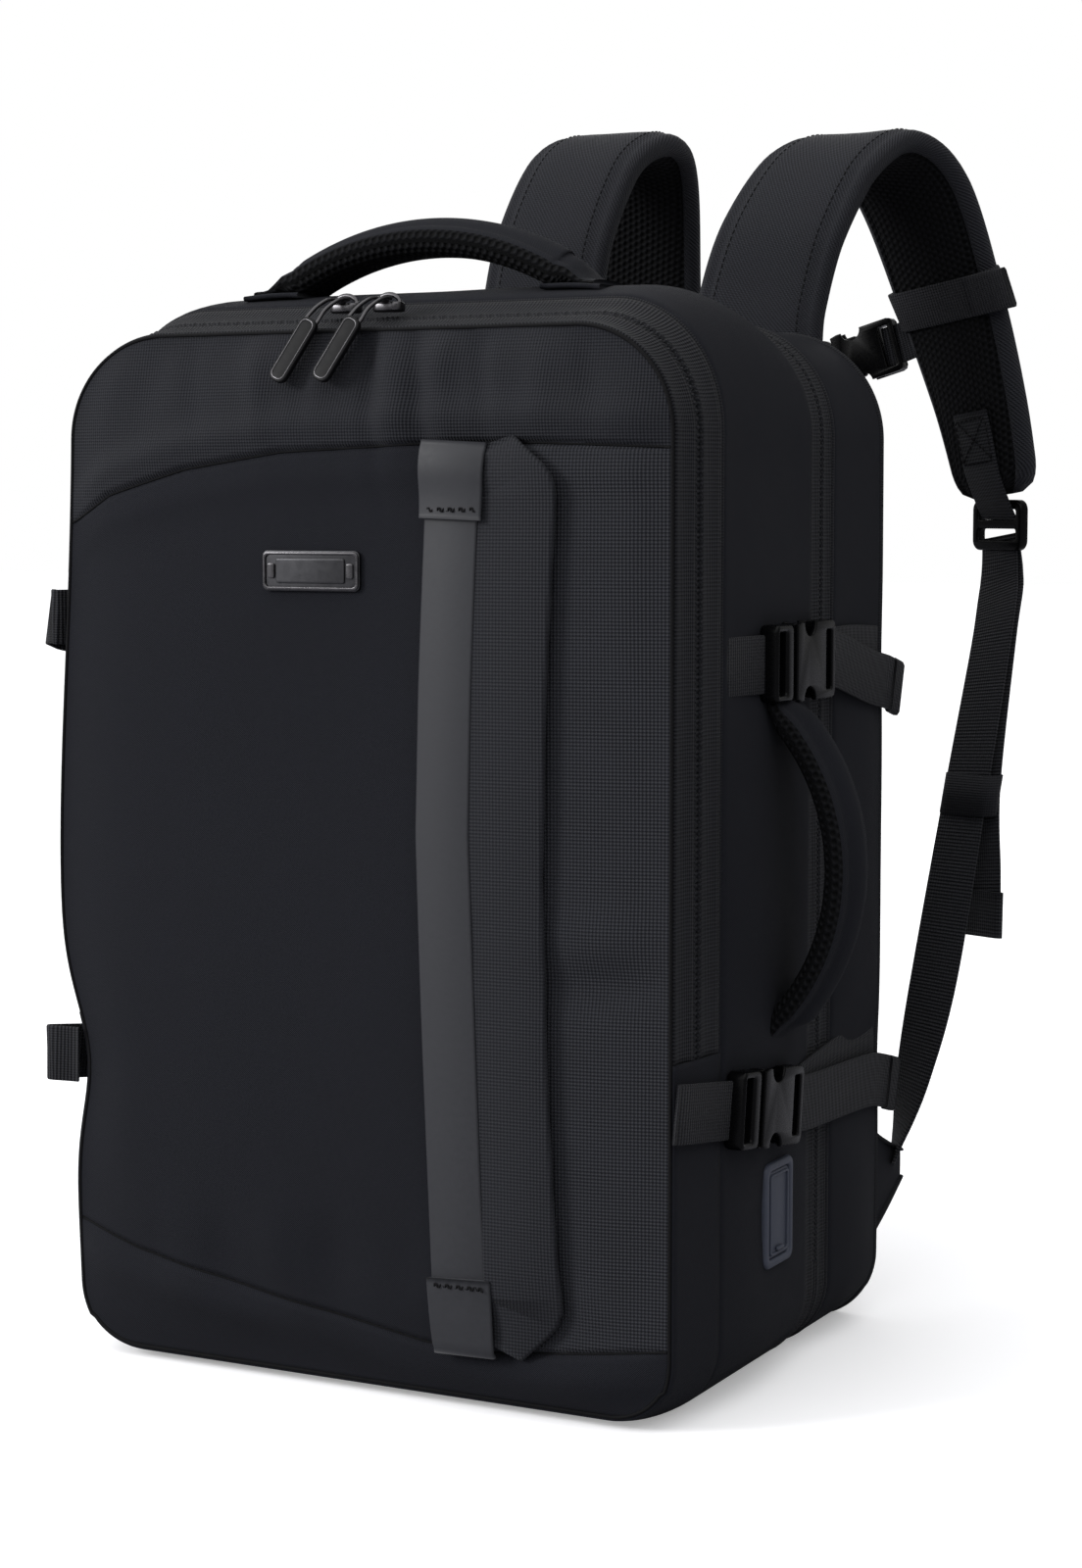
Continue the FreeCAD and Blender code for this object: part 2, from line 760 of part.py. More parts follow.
def build_chest_strap():
    """A narrow strap across both pads, with a small side-release buckle near the right pad."""
    scale = size("sternum_scale")
    wide, thick = size("webbing") * scale, size("webbing_thick")
    slope, y = size("sternum_slope"), size("sternum_y")
    mouth_x, mouth_z = size("sternum_x"), size("sternum_z")
    turn = Rotation(Vector(0, 1, 0), -math.degrees(math.atan(slope)))
    turn = turn.multiply(Rotation(Vector(0, 0, 1), -90))
    here = Placement(Vector(mouth_x, y, mouth_z), turn)
    socket = feature("sternum_socket", socket_shape(scale))
    clip = feature("sternum_clip", clip_shape(scale))
    for piece in (socket, clip):
        piece.Placement = here
        node(piece.Name, piece)

    def run(name, start_x, end_x, front):
        start_z, end_z = (mouth_z + slope * abs_x for abs_x in (start_x - mouth_x, end_x - mouth_x))
        corners = [
            (start_x, front, start_z - wide / 2),
            (end_x, front, end_z - wide / 2),
            (end_x, front, end_z + wide / 2),
            (start_x, front, start_z + wide / 2),
        ]
        return prism(name, corners, (0, 1, 0), thick)

    inner = mouth_x + size("socket_length") * scale
    outer_face = y + size("sternum_lie")
    node("sternum_webbing_right", run("sternum_webbing_right", inner - 9, size("sternum_end"), outer_face))
    low_x = mouth_x - size("clip_length") * scale
    corners = [
        (low_x, mouth_z - slope * (mouth_x - low_x)),
        (0, mouth_z - slope * mouth_x),
        (-size("sternum_left_end"), mouth_z + slope * (size("sternum_left_end") - mouth_x)),
    ]
    low = [(x, outer_face, z - wide / 2) for x, z in corners]
    high = [(x, outer_face, z + wide / 2) for x, z in reversed(corners)]
    left = prism("sternum_webbing_left", low + high, (0, 1, 0), thick)
    node("sternum_webbing_left", left)


# ---------------------------------------------------------------- back padding

def build_back():
    pads = []
    for side, x in (("right", "back_pad_gap / 2"), ("left", "0 - back_pad_gap / 2 - back_pad_width")):
        blank = box(
            f"back_pad_{side}_blank", x, "back_face + 0.1", "back_pad_low",
            "back_pad_width", "back_pad_thick", "back_pad_height",
        )
        pads.append(rounded(f"back_pad_{side}", blank, 12, [Vector(0, 1, 0)]))
    blank = box(
        "lumbar_blank", "0 - back_pad_width - back_pad_gap / 2", "back_face + 0.1", "lumbar_low",
        "2 * back_pad_width + back_pad_gap", "back_pad_thick", "lumbar_height",
    )
    pads.append(rounded("lumbar_pad", blank, 12, [Vector(0, 1, 0)]))
    node("back_pads", group("back_pads", *pads))
    outer = box(
        "band_outer", "0 - band_half", "back_face + 0.1", "band_low",
        "2 * band_half", "band_stand + band_thick", "band_height",
    )
    inner = box(
        "band_inner", "band_sewn - band_half", "back_face - 5", "band_low - 5",
        "2 * band_half - 2 * band_sewn", "5.1 + band_stand", "band_height + 10",
    )
    node("luggage_band", cut("luggage_band", outer, inner))


build_shell()
build_front()
build_inside()
build_trim()
build_handles()
build_sliders()
build_port()
build_side_straps()
build_harness()
build_chest_strap()
build_back()

doc.recompute()
for obj in doc.Objects:
    if "Invalid" in obj.State or "Error" in obj.State:
        raise SystemExit(f"{obj.Label} did not build: {obj.State}")
os.makedirs("parts", exist_ok=True)
for obj in nodes:
    if obj.Shape.isNull() or not obj.Shape.isValid():
        raise SystemExit(f"{obj.Label} has no valid shape")
    obj.Shape.exportStep(f"parts/{obj.Label}.step")
    print(f"{obj.Label}: {len(obj.Shape.Solids)} solid, {obj.Shape.Volume / 1000:.1f} cm3")
print(len(nodes), "sub-parts")
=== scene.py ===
"""Looks of the travel backpack: every soft piece, its hardware, the materials, lights and camera.

Metres. +X is the side with the carry handle, -Y the front, +Z up.
"""
import math

import bmesh
import bpy
import numpy as np
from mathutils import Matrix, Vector, noise


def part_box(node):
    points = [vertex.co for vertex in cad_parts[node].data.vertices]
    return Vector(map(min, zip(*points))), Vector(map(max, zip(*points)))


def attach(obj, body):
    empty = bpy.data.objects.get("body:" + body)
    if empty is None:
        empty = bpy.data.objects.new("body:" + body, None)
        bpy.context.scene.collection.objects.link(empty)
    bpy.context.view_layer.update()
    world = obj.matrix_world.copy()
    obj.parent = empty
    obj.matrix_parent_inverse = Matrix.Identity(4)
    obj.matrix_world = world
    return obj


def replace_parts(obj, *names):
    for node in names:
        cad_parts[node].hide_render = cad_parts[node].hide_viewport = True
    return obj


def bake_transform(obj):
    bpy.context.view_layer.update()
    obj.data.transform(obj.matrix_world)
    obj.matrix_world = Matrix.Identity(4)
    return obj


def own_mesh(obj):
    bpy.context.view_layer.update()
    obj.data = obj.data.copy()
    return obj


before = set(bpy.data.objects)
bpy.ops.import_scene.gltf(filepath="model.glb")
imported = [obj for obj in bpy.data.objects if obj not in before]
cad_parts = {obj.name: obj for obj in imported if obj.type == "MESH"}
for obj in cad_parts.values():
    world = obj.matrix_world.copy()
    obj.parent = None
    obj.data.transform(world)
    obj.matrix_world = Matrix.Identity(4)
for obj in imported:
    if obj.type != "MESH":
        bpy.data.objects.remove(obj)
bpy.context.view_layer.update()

MM = 0.001

# ---- driving sizes, the first ones taken from the frame

FRONT_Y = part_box("front_panel")[0][1]
MAIN_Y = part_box("right_gusset")[0][1]
REAR_A, REAR_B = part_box("rear_zip_tape")[0][1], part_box("rear_zip_tape")[1][1]
BACK_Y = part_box("back_panel")[1][1]
HALF_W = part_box("front_panel")[1][0]
FOLD_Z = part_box("front_panel")[0][2]
LID_Y = -0.095
SHELL_TOP = 0.459
R_TOP, R_FOOT = 0.048, 0.032

# ---- mesh helpers


def add_mesh(name, verts, faces, body=None, mats=(), coords=None, face_mats=None):
    """Makes a piece from points and faces. coords is a (u, v) in metres for each point."""
    mesh = bpy.data.meshes.new(name)
    mesh.from_pydata([tuple(v) for v in verts], [], [tuple(f) for f in faces])
    if coords is not None:
        attribute = mesh.attributes.new("weave", "FLOAT_VECTOR", "POINT")
        flat = np.zeros((len(verts), 3), dtype=np.float32)
        flat[:, :2] = coords
        attribute.data.foreach_set("vector", flat.ravel())
    obj = bpy.data.objects.new(name, mesh)
    bpy.context.scene.collection.objects.link(obj)
    for mat in mats:
        mesh.materials.append(mat)
    if face_mats is not None:
        mesh.polygons.foreach_set("material_index", [int(i) for i in face_mats])
    mesh.polygons.foreach_set("use_smooth", [True] * len(mesh.polygons))
    mesh.update()
    if body:
        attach(obj, body)
    return obj


def thicken(obj, thickness, offset=-1, inner_mat=0):
    """Gives a sheet its thickness. inner_mat is added to the material index of the inner faces."""
    solid = obj.modifiers.new("thick", "SOLIDIFY")
    solid.thickness = thickness
    solid.offset = offset
    solid.material_offset = inner_mat


def apply_modifiers(obj):
    """Turns an object's modifiers into its mesh."""
    graph = bpy.context.evaluated_depsgraph_get()
    graph.update()
    mesh = bpy.data.meshes.new_from_object(obj.evaluated_get(graph))
    old = obj.data
    obj.modifiers.clear()
    obj.data = mesh
    bpy.data.meshes.remove(old)
    return obj


def grid_faces(rows, cols, wrap_cols=False, wrap_rows=False):
    faces = []
    for i in range(rows if wrap_rows else rows - 1):
        for j in range(cols if wrap_cols else cols - 1):
            a = i * cols + j
            b = i * cols + (j + 1) % cols
            c = ((i + 1) % rows) * cols + (j + 1) % cols
            d = ((i + 1) % rows) * cols + j
            faces.append((a, b, c, d))
    return faces


def end_caps(rows, cols):
    """The two flat ends of a tube made of rows rings of cols points."""
    return [tuple(range(cols)), tuple(reversed(range((rows - 1) * cols, rows * cols)))]


def run_along(points):
    """How far along a line each of its points is."""
    return np.concatenate([[0], np.cumsum(np.linalg.norm(np.diff(points, axis=0), axis=1))])


def curve_through(points, step):
    """Points about step apart on a smooth curve (Catmull-Rom) through the given ones."""
    pts = np.asarray(points, dtype=float)
    ext = np.vstack([2 * pts[0] - pts[1], pts, 2 * pts[-1] - pts[-2]])
    out = []
    for i in range(1, len(ext) - 2):
        p0, p1, p2, p3 = ext[i - 1], ext[i], ext[i + 1], ext[i + 2]
        count = max(2, int(np.linalg.norm((p2 - p1)[:3]) / step))
        for k in range(count):
            t = k / count
            square = 2 * p0 - 5 * p1 + 4 * p2 - p3
            cube = 3 * p1 - p0 - 3 * p2 + p3
            out.append(0.5 * (2 * p1 + (p2 - p0) * t + square * t * t + cube * t ** 3))
    out.append(ext[-2])
    return np.array(out)


def heading(yaw):
    """The level direction that +X takes after a turn of yaw degrees."""
    return (math.cos(math.radians(yaw)), math.sin(math.radians(yaw)), 0)


def unit(v):
    v = np.asarray(v, dtype=float)
    n = np.linalg.norm(v, axis=-1, keepdims=True)
    return v / np.where(n < 1e-12, 1, n)


def frames(path, across):
    """Tangent, across and normal directions at each point of a path."""
    path = np.asarray(path)
    along = unit(np.gradient(path, axis=0))
    across = np.broadcast_to(np.asarray(across, dtype=float), path.shape)
    side = unit(across - along * np.sum(across * along, axis=1, keepdims=True))
    normal = unit(np.cross(along, side))
    return along, side, normal


def sweep(name, path, across, profile, body=None, mats=(), caps=True, closed=False, scale=None,
          face_mat=None):
    """Sweeps a closed profile of (across, normal) offsets along a path.

    profile is a list of pairs, or a function of the share of the length done that gives one.
    face_mat gives each face's material from its place round the profile, from 0 to 1.
    """
    path = np.asarray(path, dtype=float)
    _, side, normal = frames(path, across)
    run = run_along(path)
    verts, coords = [], []
    total = run[-1] if run[-1] else 1
    for i, centre in enumerate(path):
        ring = profile(run[i] / total) if callable(profile) else profile
        ring = np.asarray(ring, dtype=float)
        if scale is not None:
            ring = ring * scale[i]
        verts.append(centre + ring[:, :1] * side[i] + ring[:, 1:] * normal[i])
        edge = run_along(ring)
        coords.append(np.stack([edge, np.full(len(edge), run[i])], axis=1))
    cols = len(verts[0])
    rows = len(verts)
    faces = grid_faces(rows, cols, wrap_cols=True, wrap_rows=closed)
    marks = None
    if face_mat:
        marks = [face_mat(j / cols) for j in range(cols)] * (rows if closed else rows - 1)
    if caps and not closed:
        faces += end_caps(rows, cols)
        marks = marks and marks + [0, 0]
    return add_mesh(name, np.concatenate(verts), faces, body, mats, coords=np.concatenate(coords),
                    face_mats=marks)


def strap_profile(width, thick, points=3):
    """A flat band with round edges."""
    half, t = width / 2, thick / 2
    ring = []
    for k in range(points + 1):
        a = -math.pi / 2 + math.pi * k / points
        ring.append((half - t + t * math.cos(a), t * math.sin(a)))
    for k in range(points + 1):
        a = math.pi / 2 + math.pi * k / points
        ring.append((-half + t + t * math.cos(a), t * math.sin(a)))
    return ring


def round_profile(radius, count=8):
    return [
        (radius * math.cos(2 * math.pi * k / count), radius * math.sin(2 * math.pi * k / count))
        for k in range(count)
    ]


def smoothstep(a, b, x):
    t = np.clip((x - a) / (b - a), 0, 1)
    return t * t * (3 - 2 * t)


def wobble(x, y, z, scale, seed=0.0):
    """A smooth random value from -1 to 1."""
    return noise.noise(Vector((x * scale + seed, y * scale - seed, z * scale + 2 * seed)))


# ---- materials


class Material:
    """A Principled material, with short names for the small node networks that vary it."""

    def __init__(self, name, color, rough, sheen=0.0, metal=0.0, spec=0.5):
        self.mat = bpy.data.materials.new(name)
        self.mat.use_nodes = True
        self.nodes, self.links = self.mat.node_tree.nodes, self.mat.node_tree.links
        self.shader = self.nodes["Principled BSDF"]
        self.set(self.shader, "Base Color", (*color, 1))
        self.set(self.shader, "Roughness", rough)
        self.set(self.shader, "Metallic", metal)
        self.set(self.shader, "Sheen Weight", sheen)
        self.set(self.shader, "Sheen Roughness", 0.45)
        self.set(self.shader, "Specular IOR Level", spec)

    def set(self, node, socket, value):
        node.inputs[socket].default_value = value

    def math(self, operation, a, b=None):
        node = self.nodes.new("ShaderNodeMath")
        node.operation = operation
        for socket, value in zip(node.inputs, (a, b)):
            if isinstance(value, (int, float)):
                socket.default_value = value
            elif value is not None:
                self.links.new(value, socket)
        return node.outputs[0]

    def add(self, a, b):
        return self.math("ADD", a, b)

    def times(self, a, b):
        return self.math("MULTIPLY", a, b)

    def wave(self, value, pitch):
        """A sine along a distance in metres."""
        return self.math("SINE", self.times(value, 2 * math.pi / pitch))

    def coordinates(self, use_object=True):
        """The place in the object's own space, or the piece's own two directions in metres."""
        if use_object:
            return self.nodes.new("ShaderNodeTexCoord").outputs["Object"]
        attribute = self.nodes.new("ShaderNodeAttribute")
        attribute.attribute_name = "weave"
        return attribute.outputs["Vector"]

    def relief(self, kind, coords, pitch):
        """The small relief of a cloth: dots, twill, ribs, mesh or plain."""
        split = self.nodes.new("ShaderNodeSeparateXYZ")
        self.links.new(coords, split.inputs[0])
        u, v = split.outputs[0], split.outputs[1]
        if kind == "dots":
            turned = pitch * 1.414
            return self.times(self.wave(self.add(u, v), turned),
                              self.wave(self.math("SUBTRACT", u, v), turned))
        if kind == "twill":
            return self.add(self.wave(self.add(u, v), pitch), self.times(self.wave(v, pitch * 0.5), 0.4))
        if kind == "ribs":
            return self.add(self.wave(v, pitch), self.times(self.wave(u, pitch * 0.8), 0.45))
        if kind == "mesh":
            half, slant = self.times(u, 0.5), self.times(v, 0.866)
            rising, falling = self.add(half, slant), self.math("SUBTRACT", half, slant)
            two = self.add(self.wave(u, pitch), self.wave(rising, pitch))
            return self.add(two, self.wave(falling, pitch))
        return self.times(self.wave(u, pitch), self.wave(v, pitch))

    def noise(self, coords, scale, detail):
        node = self.nodes.new("ShaderNodeTexNoise")
        self.set(node, "Scale", scale)
        self.set(node, "Detail", detail)
        self.links.new(coords, node.inputs["Vector"])
        return node.outputs["Fac"]

    def bump(self, height, depth, strength):
        node = self.nodes.new("ShaderNodeBump")
        self.set(node, "Distance", depth)
        self.set(node, "Strength", strength)
        self.links.new(height, node.inputs["Height"])
        self.links.new(node.outputs[0], self.shader.inputs["Normal"])

    def spread(self, value, from_range=(0, 1), to_range=(0, 1)):
        node = self.nodes.new("ShaderNodeMapRange")
        names = ("From Min", "From Max", "To Min", "To Max")
        for socket, number in zip(names, (*from_range, *to_range)):
            self.set(node, socket, number)
        self.links.new(value, node.inputs["Value"])
        return node.outputs[0]

    def tint(self, factor, color, contrast):
        """Varies the base colour both ways by a share of itself; cloth() drives it with the relief height, a
        painted shade in hollows and painted highlight on raised threads, and hard() with random grain.
        """
        mix = self.nodes.new("ShaderNodeMix")
        mix.data_type = "RGBA"
        self.set(mix, 6, (*(c * (1 - contrast) for c in color), 1))
        self.set(mix, 7, (*(c * (1 + contrast) for c in color), 1))
        self.links.new(factor, mix.inputs[0])
        self.links.new(mix.outputs[2], self.shader.inputs["Base Color"])

    def uneven_gloss(self, noise, low, high):
        self.links.new(self.spread(noise, to_range=(low, high)), self.shader.inputs["Roughness"])


def cloth(name, color, kind, pitch, depth, rough=0.75, sheen=0.04, contrast=0.25, use_object=False,
          spec=0.14):
    """A woven material with its own relief, a colour painted darker in the relief's hollows and lighter on
    its raised threads (painted shade and highlight), and slow unevenness.
    """
    made = Material(name, color, rough, sheen=sheen, spec=spec)
    coords = made.coordinates(use_object)
    cloud = made.noise(coords, 45, 5)
    height = made.add(made.relief(kind, coords, pitch), made.times(cloud, 0.8))
    made.bump(height, depth, 0.7)
    # Painted shade and highlight: the colour follows the bump height, darker in the weave's hollows and
    # lighter on its raised threads; the slow cloud in it adds random tone.
    made.tint(made.spread(height, from_range=(-0.8, 1.8)), color, contrast)
    made.uneven_gloss(cloud, rough - 0.08, rough + 0.08)
    return made.mat


def hard(name, color, rough, metal=0.0, grain=250, depth=0.00006, spec=0.5):
    """Moulded or plated material: a fine grain and slightly uneven gloss."""
    made = Material(name, color, rough, metal=metal, spec=spec)
    grains = made.noise(made.coordinates(), grain, 6)
    made.bump(grains, depth, 1.0)
    made.tint(made.spread(grains), color, 0.15)
    made.uneven_gloss(grains, max(rough - 0.08, 0.02), rough + 0.1)
    return made.mat


M = {
    "plain": cloth("cloth_plain", (0.0094, 0.0100, 0.0134), "plain", 0.0009, 0.00020, rough=0.76,
                   contrast=0.40, spec=0.09, sheen=0.015),
    "twill": cloth("cloth_twill", (0.0122, 0.0129, 0.0166), "twill", 0.0020, 0.00036, rough=0.68,
                   contrast=0.45),
    "yoke": cloth("cloth_yoke", (0.0102, 0.0108, 0.0142), "dots", 0.0019, 0.00034, rough=0.70,
                  contrast=0.45),
    "ballistic": cloth("cloth_ballistic", (0.0158, 0.0166, 0.0208), "dots", 0.0021, 0.0005, rough=0.62,
                       contrast=0.60),
    "flap": cloth("cloth_flap", (0.0138, 0.0144, 0.0178), "dots", 0.0021, 0.00030, rough=0.68,
                  contrast=0.40),
    "binding": cloth("cloth_binding", (0.0080, 0.0084, 0.0106), "ribs", 0.0012, 0.0002, rough=0.72),
    "tape": cloth("cloth_tape", (0.0100, 0.0105, 0.0132), "ribs", 0.0016, 0.0004, rough=0.66,
                  contrast=0.6),
    "webbing": cloth("webbing_ribbed", (0.0110, 0.0114, 0.0140), "ribs", 0.0017, 0.0005, rough=0.64,
                     contrast=0.7),
    # Spacer mesh: its strong tint paints the holes of the lattice darkest, a painted shade in its hollows.
    "mesh": cloth("mesh_spacer", (0.0034, 0.0035, 0.0042), "mesh", 0.0031, 0.0006, rough=0.85,
                  contrast=0.8, spec=0.1, sheen=0.0),
    "lining": cloth("cloth_lining", (0.045, 0.046, 0.052), "plain", 0.0011, 0.00006, rough=0.6,
                    use_object=True),
    "thread": cloth("thread", (0.0030, 0.0030, 0.0036), "ribs", 0.0006, 0.00005, rough=0.8, sheen=0.0),
    "trim": hard("trim_coated", (0.0215, 0.0222, 0.0260), 0.55, grain=420, depth=0.00005, spec=0.3),
    "plastic": hard("plastic_glossy", (0.0014, 0.0014, 0.0017), 0.26, grain=900, depth=0.000006, spec=0.09),
    "metal": hard("metal_gunmetal", (0.082, 0.080, 0.084), 0.28, metal=1.0, grain=300, depth=0.00003),
    "metal_dark": hard("metal_plate", (0.045, 0.045, 0.048), 0.36, metal=1.0, grain=300, depth=0.00003),
    "rubber": hard("rubber_matt", (0.0030, 0.0030, 0.0036), 0.5, grain=300, depth=0.00004, spec=0.14),
    "port": hard("rubber_port", (0.042, 0.048, 0.068), 0.5, grain=350, depth=0.00004, spec=0.3),
}


# ---- the bag's outline


def outline_points(half, low, high, r_top, r_foot):
    """Even samples of the outline seen from the front: x, z, outward direction and run."""
    parts = []
    turn = math.pi / 2

    def line(a, b, n):
        steps = max(2, int(math.dist(a, b) / 0.0025))
        for k in range(steps):
            t = k / steps
            parts.append((a[0] + (b[0] - a[0]) * t, a[1] + (b[1] - a[1]) * t, n[0], n[1]))

    def corner(cx, cz, r, start):
        steps = max(3, int(r * turn / 0.0025))
        for k in range(steps):
            a = start + turn * k / steps
            parts.append((cx + r * math.cos(a), cz + r * math.sin(a), math.cos(a), math.sin(a)))

    line((0, low), (half - r_foot, low), (0, -1))
    corner(half - r_foot, low + r_foot, r_foot, -turn)
    line((half, low + r_foot), (half, high - r_top), (1, 0))
    corner(half - r_top, high - r_top, r_top, 0)
    line((half - r_top, high), (r_top - half, high), (0, 1))
    corner(r_top - half, high - r_top, r_top, turn)
    line((-half, high - r_top), (-half, low + r_foot), (-1, 0))
    corner(r_foot - half, low + r_foot, r_foot, 2 * turn)
    line((r_foot - half, low), (0, low), (0, -1))
    return np.array(parts)


RIM = outline_points(HALF_W, 0.0, SHELL_TOP, R_TOP, R_FOOT)
RIM_RUN = run_along(RIM[:, :2])


def crown_height(y):
    """How far the cloth on top stands above the outline, from the front edge to the back."""
    if y <= MAIN_Y:
        t = (y - FRONT_Y) / (MAIN_Y - FRONT_Y)
        return -0.0045 + 0.0120 * t - 0.0015 * math.sin(math.pi * t)
    if y < REAR_A:
        t = (y - MAIN_Y) / (REAR_A - MAIN_Y)
        return 0.0075 - 0.0050 * t + 0.0085 * math.sin(math.pi * t) ** 0.8
    return 0.0025 - 0.0030 * (y - REAR_A) / (BACK_Y - REAR_A)


def swell(x, z, nx, nz, y):
    """How far the filled bag stands out from the plain outline at a point of its edge."""
    bellied = 0.0
    if MAIN_Y < y < REAR_A:
        bellied = math.sin(math.pi * (y - MAIN_Y) / (REAR_A - MAIN_Y)) ** 0.8
    elif y >= REAR_B:
        bellied = 0.7 * math.sin(math.pi * min(1, (y - REAR_B) / (BACK_Y - REAR_B))) ** 0.8
    belly = 0.0055 * math.exp(-((z - 0.110) / 0.130) ** 2) + 0.0045 * math.exp(-((z - 0.25) / 0.10) ** 2)
    for strap_z in (0.315, 0.127):
        belly *= 1 - 0.85 * math.exp(-((z - strap_z) / 0.020) ** 2)
    belly *= 1 - 0.8 * math.exp(-((y + 0.023) / 0.024) ** 2 - ((z - 0.077) / 0.030) ** 2)
    eased = -0.0045 * max(0.0, (MAIN_Y - y) / (MAIN_Y - FRONT_Y)) ** 1.3
    if nx < 0:
        near_strap = math.exp(-((z - 0.131) / 0.036) ** 2)
        lean = 0.0105 * math.exp(-((z - 0.215) / 0.135) ** 2) * (1 - near_strap)
        eased = (0.25 + 0.75 * near_strap) * eased + lean * float(1 - smoothstep(MAIN_Y, MAIN_Y + 0.025, y))
    side = nx * nx * (bellied * belly + eased)
    crown = max(nz, 0) ** 2 * crown_height(y)
    rumple = 0.0016 * wobble(x, y, z, 14.0, 3.0) * min(1.0, bellied * 1.6)
    toe = -0.0055 * max(-nz, 0) ** 2 * max(0.0, (MAIN_Y - y) / (MAIN_Y - FRONT_Y)) ** 2
    if nz < -0.5:
        return nx * nx * eased + toe
    return side + crown + rumple * (1 - max(0, -nz))


def edge_point(k, y, out=0.0):
    """A point of the shell's edge: sample k of the outline, at depth y, moved outward by out."""
    x, z, nx, nz = RIM[k]
    d = swell(x, z, nx, nz, y) + out
    return (x + nx * d, y, max(z + nz * d, 0.0004))


def samples(low_z=None, high_z=None):
    """The outline's samples above or below a height, in order."""
    index = list(range(len(RIM)))
    if low_z is not None:
        index = [k for k in index if RIM[k][1] >= low_z]
    if high_z is not None:
        right = [k for k in index if RIM[k][1] <= high_z and k < len(RIM) / 2]
        left = [k for k in index if RIM[k][1] <= high_z and k >= len(RIM) / 2]
        index = left + right
    return index


def shell_band(name, body, mat, y0, y1, low_z=None, high_z=None, out=None, rows=12, thick=0.0016,
               replaces=()):
    """A strip of cloth round the shell between two depths."""
    index = samples(low_z, high_z)
    closed = low_z is None and high_z is None
    verts, coords = [], []
    for i in range(rows):
        t = i / (rows - 1)
        y = y0 + (y1 - y0) * t
        for k in index:
            extra = out(t) if out else 0.0
            verts.append(edge_point(k, y, extra))
            coords.append((y, RIM_RUN[k]))
    faces = grid_faces(rows, len(index), wrap_cols=closed)
    obj = add_mesh(name, verts, faces, None, [mat], coords=coords)
    thicken(obj, thick)
    apply_modifiers(obj)
    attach(obj, body)
    if replaces:
        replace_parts(obj, *replaces)
    return obj


def edge_tube(name, body, mat, y, radius, low_z=None, out=0.0, beads=0.0):
    """A cord of piping, or half a zipper's coil, round the shell."""
    closed = low_z is None
    path = np.array([edge_point(k, y, out) for k in samples(low_z)])
    scale = None
    if beads:
        path = curve_through(path, 0.0006)
        scale = [1 + beads * (1 if (k // 2) % 2 else -1) for k in range(len(path))]
    return sweep(name, path, (0, 1, 0), round_profile(radius), body, [mat], caps=not closed, closed=closed,
                 scale=scale)


# ---- the front face

UPPER_SEAM = [(-0.148, 0.374), (-0.125, 0.386), (-0.083, 0.397), (-0.034, 0.404), (0.033, 0.407),
              (0.088, 0.407), (0.141, 0.405), (0.150, 0.404)]
LOWER_SEAM = [(-0.152, 0.062), (-0.114, 0.052), (-0.057, 0.042), (0.032, 0.028), (0.065, 0.027),
              (0.142, 0.036), (0.150, 0.038)]


def seam_height(seam, x):
    xs, zs = zip(*seam)
    return float(np.interp(x, xs, zs))


HALF_RIM = len(RIM) // 2
STRAIGHT_X = HALF_W - R_TOP - 0.001
FRONT_EDGE = [edge_point(k, FRONT_Y) for k in range(HALF_RIM) if RIM[k][0] > STRAIGHT_X]
LEFT_EDGE = [edge_point(k, FRONT_Y) for k in reversed(range(HALF_RIM, len(RIM))) if RIM[k][0] < -STRAIGHT_X]
FRONT_TOP = max(p[2] for p in FRONT_EDGE)
FRONT_FOOT = min(p[2] for p in FRONT_EDGE)


def edge_x(z, side=1):
    """x of the front's right or left edge at a height."""
    edge = FRONT_EDGE if side > 0 else LEFT_EDGE
    return float(np.interp(z, [p[2] for p in edge], [p[0] for p in edge]))


def dent(x, z, at_x, at_z, wide, high, depth):
    return depth * math.exp(-((x - at_x) / wide) ** 2 - ((z - at_z) / high) ** 2)


# Slow dents and swellings of the slack front: x, z, half width, half height and depth.
DENTS = [(0.118, 0.186, 0.022, 0.010, -0.0030), (0.118, 0.205, 0.024, 0.012, 0.0022),
         (-0.125, 0.120, 0.020, 0.060, 0.0018), (0.105, 0.012, 0.030, 0.018, 0.0045),
         (0.128, 0.372, 0.012, 0.050, 0.0016), (-0.020, 0.020, 0.050, 0.012, -0.0020)]

# Pleats where the yoke is gathered under the zipper: x, half width, height and reach downward.
PLEATS = [(-0.085, 0.006, -0.0020, 0.026), (-0.052, 0.006, 0.0026, 0.034), (-0.030, 0.005, -0.0022, 0.028),
          (0.002, 0.0045, -0.0042, 0.038), (0.013, 0.006, 0.0036, 0.034), (0.026, 0.0045, -0.0046, 0.044),
          (0.038, 0.007, 0.0042, 0.040), (0.056, 0.005, -0.0034, 0.034), (0.082, 0.008, 0.0028, 0.030),
          (0.104, 0.006, -0.0022, 0.028)]


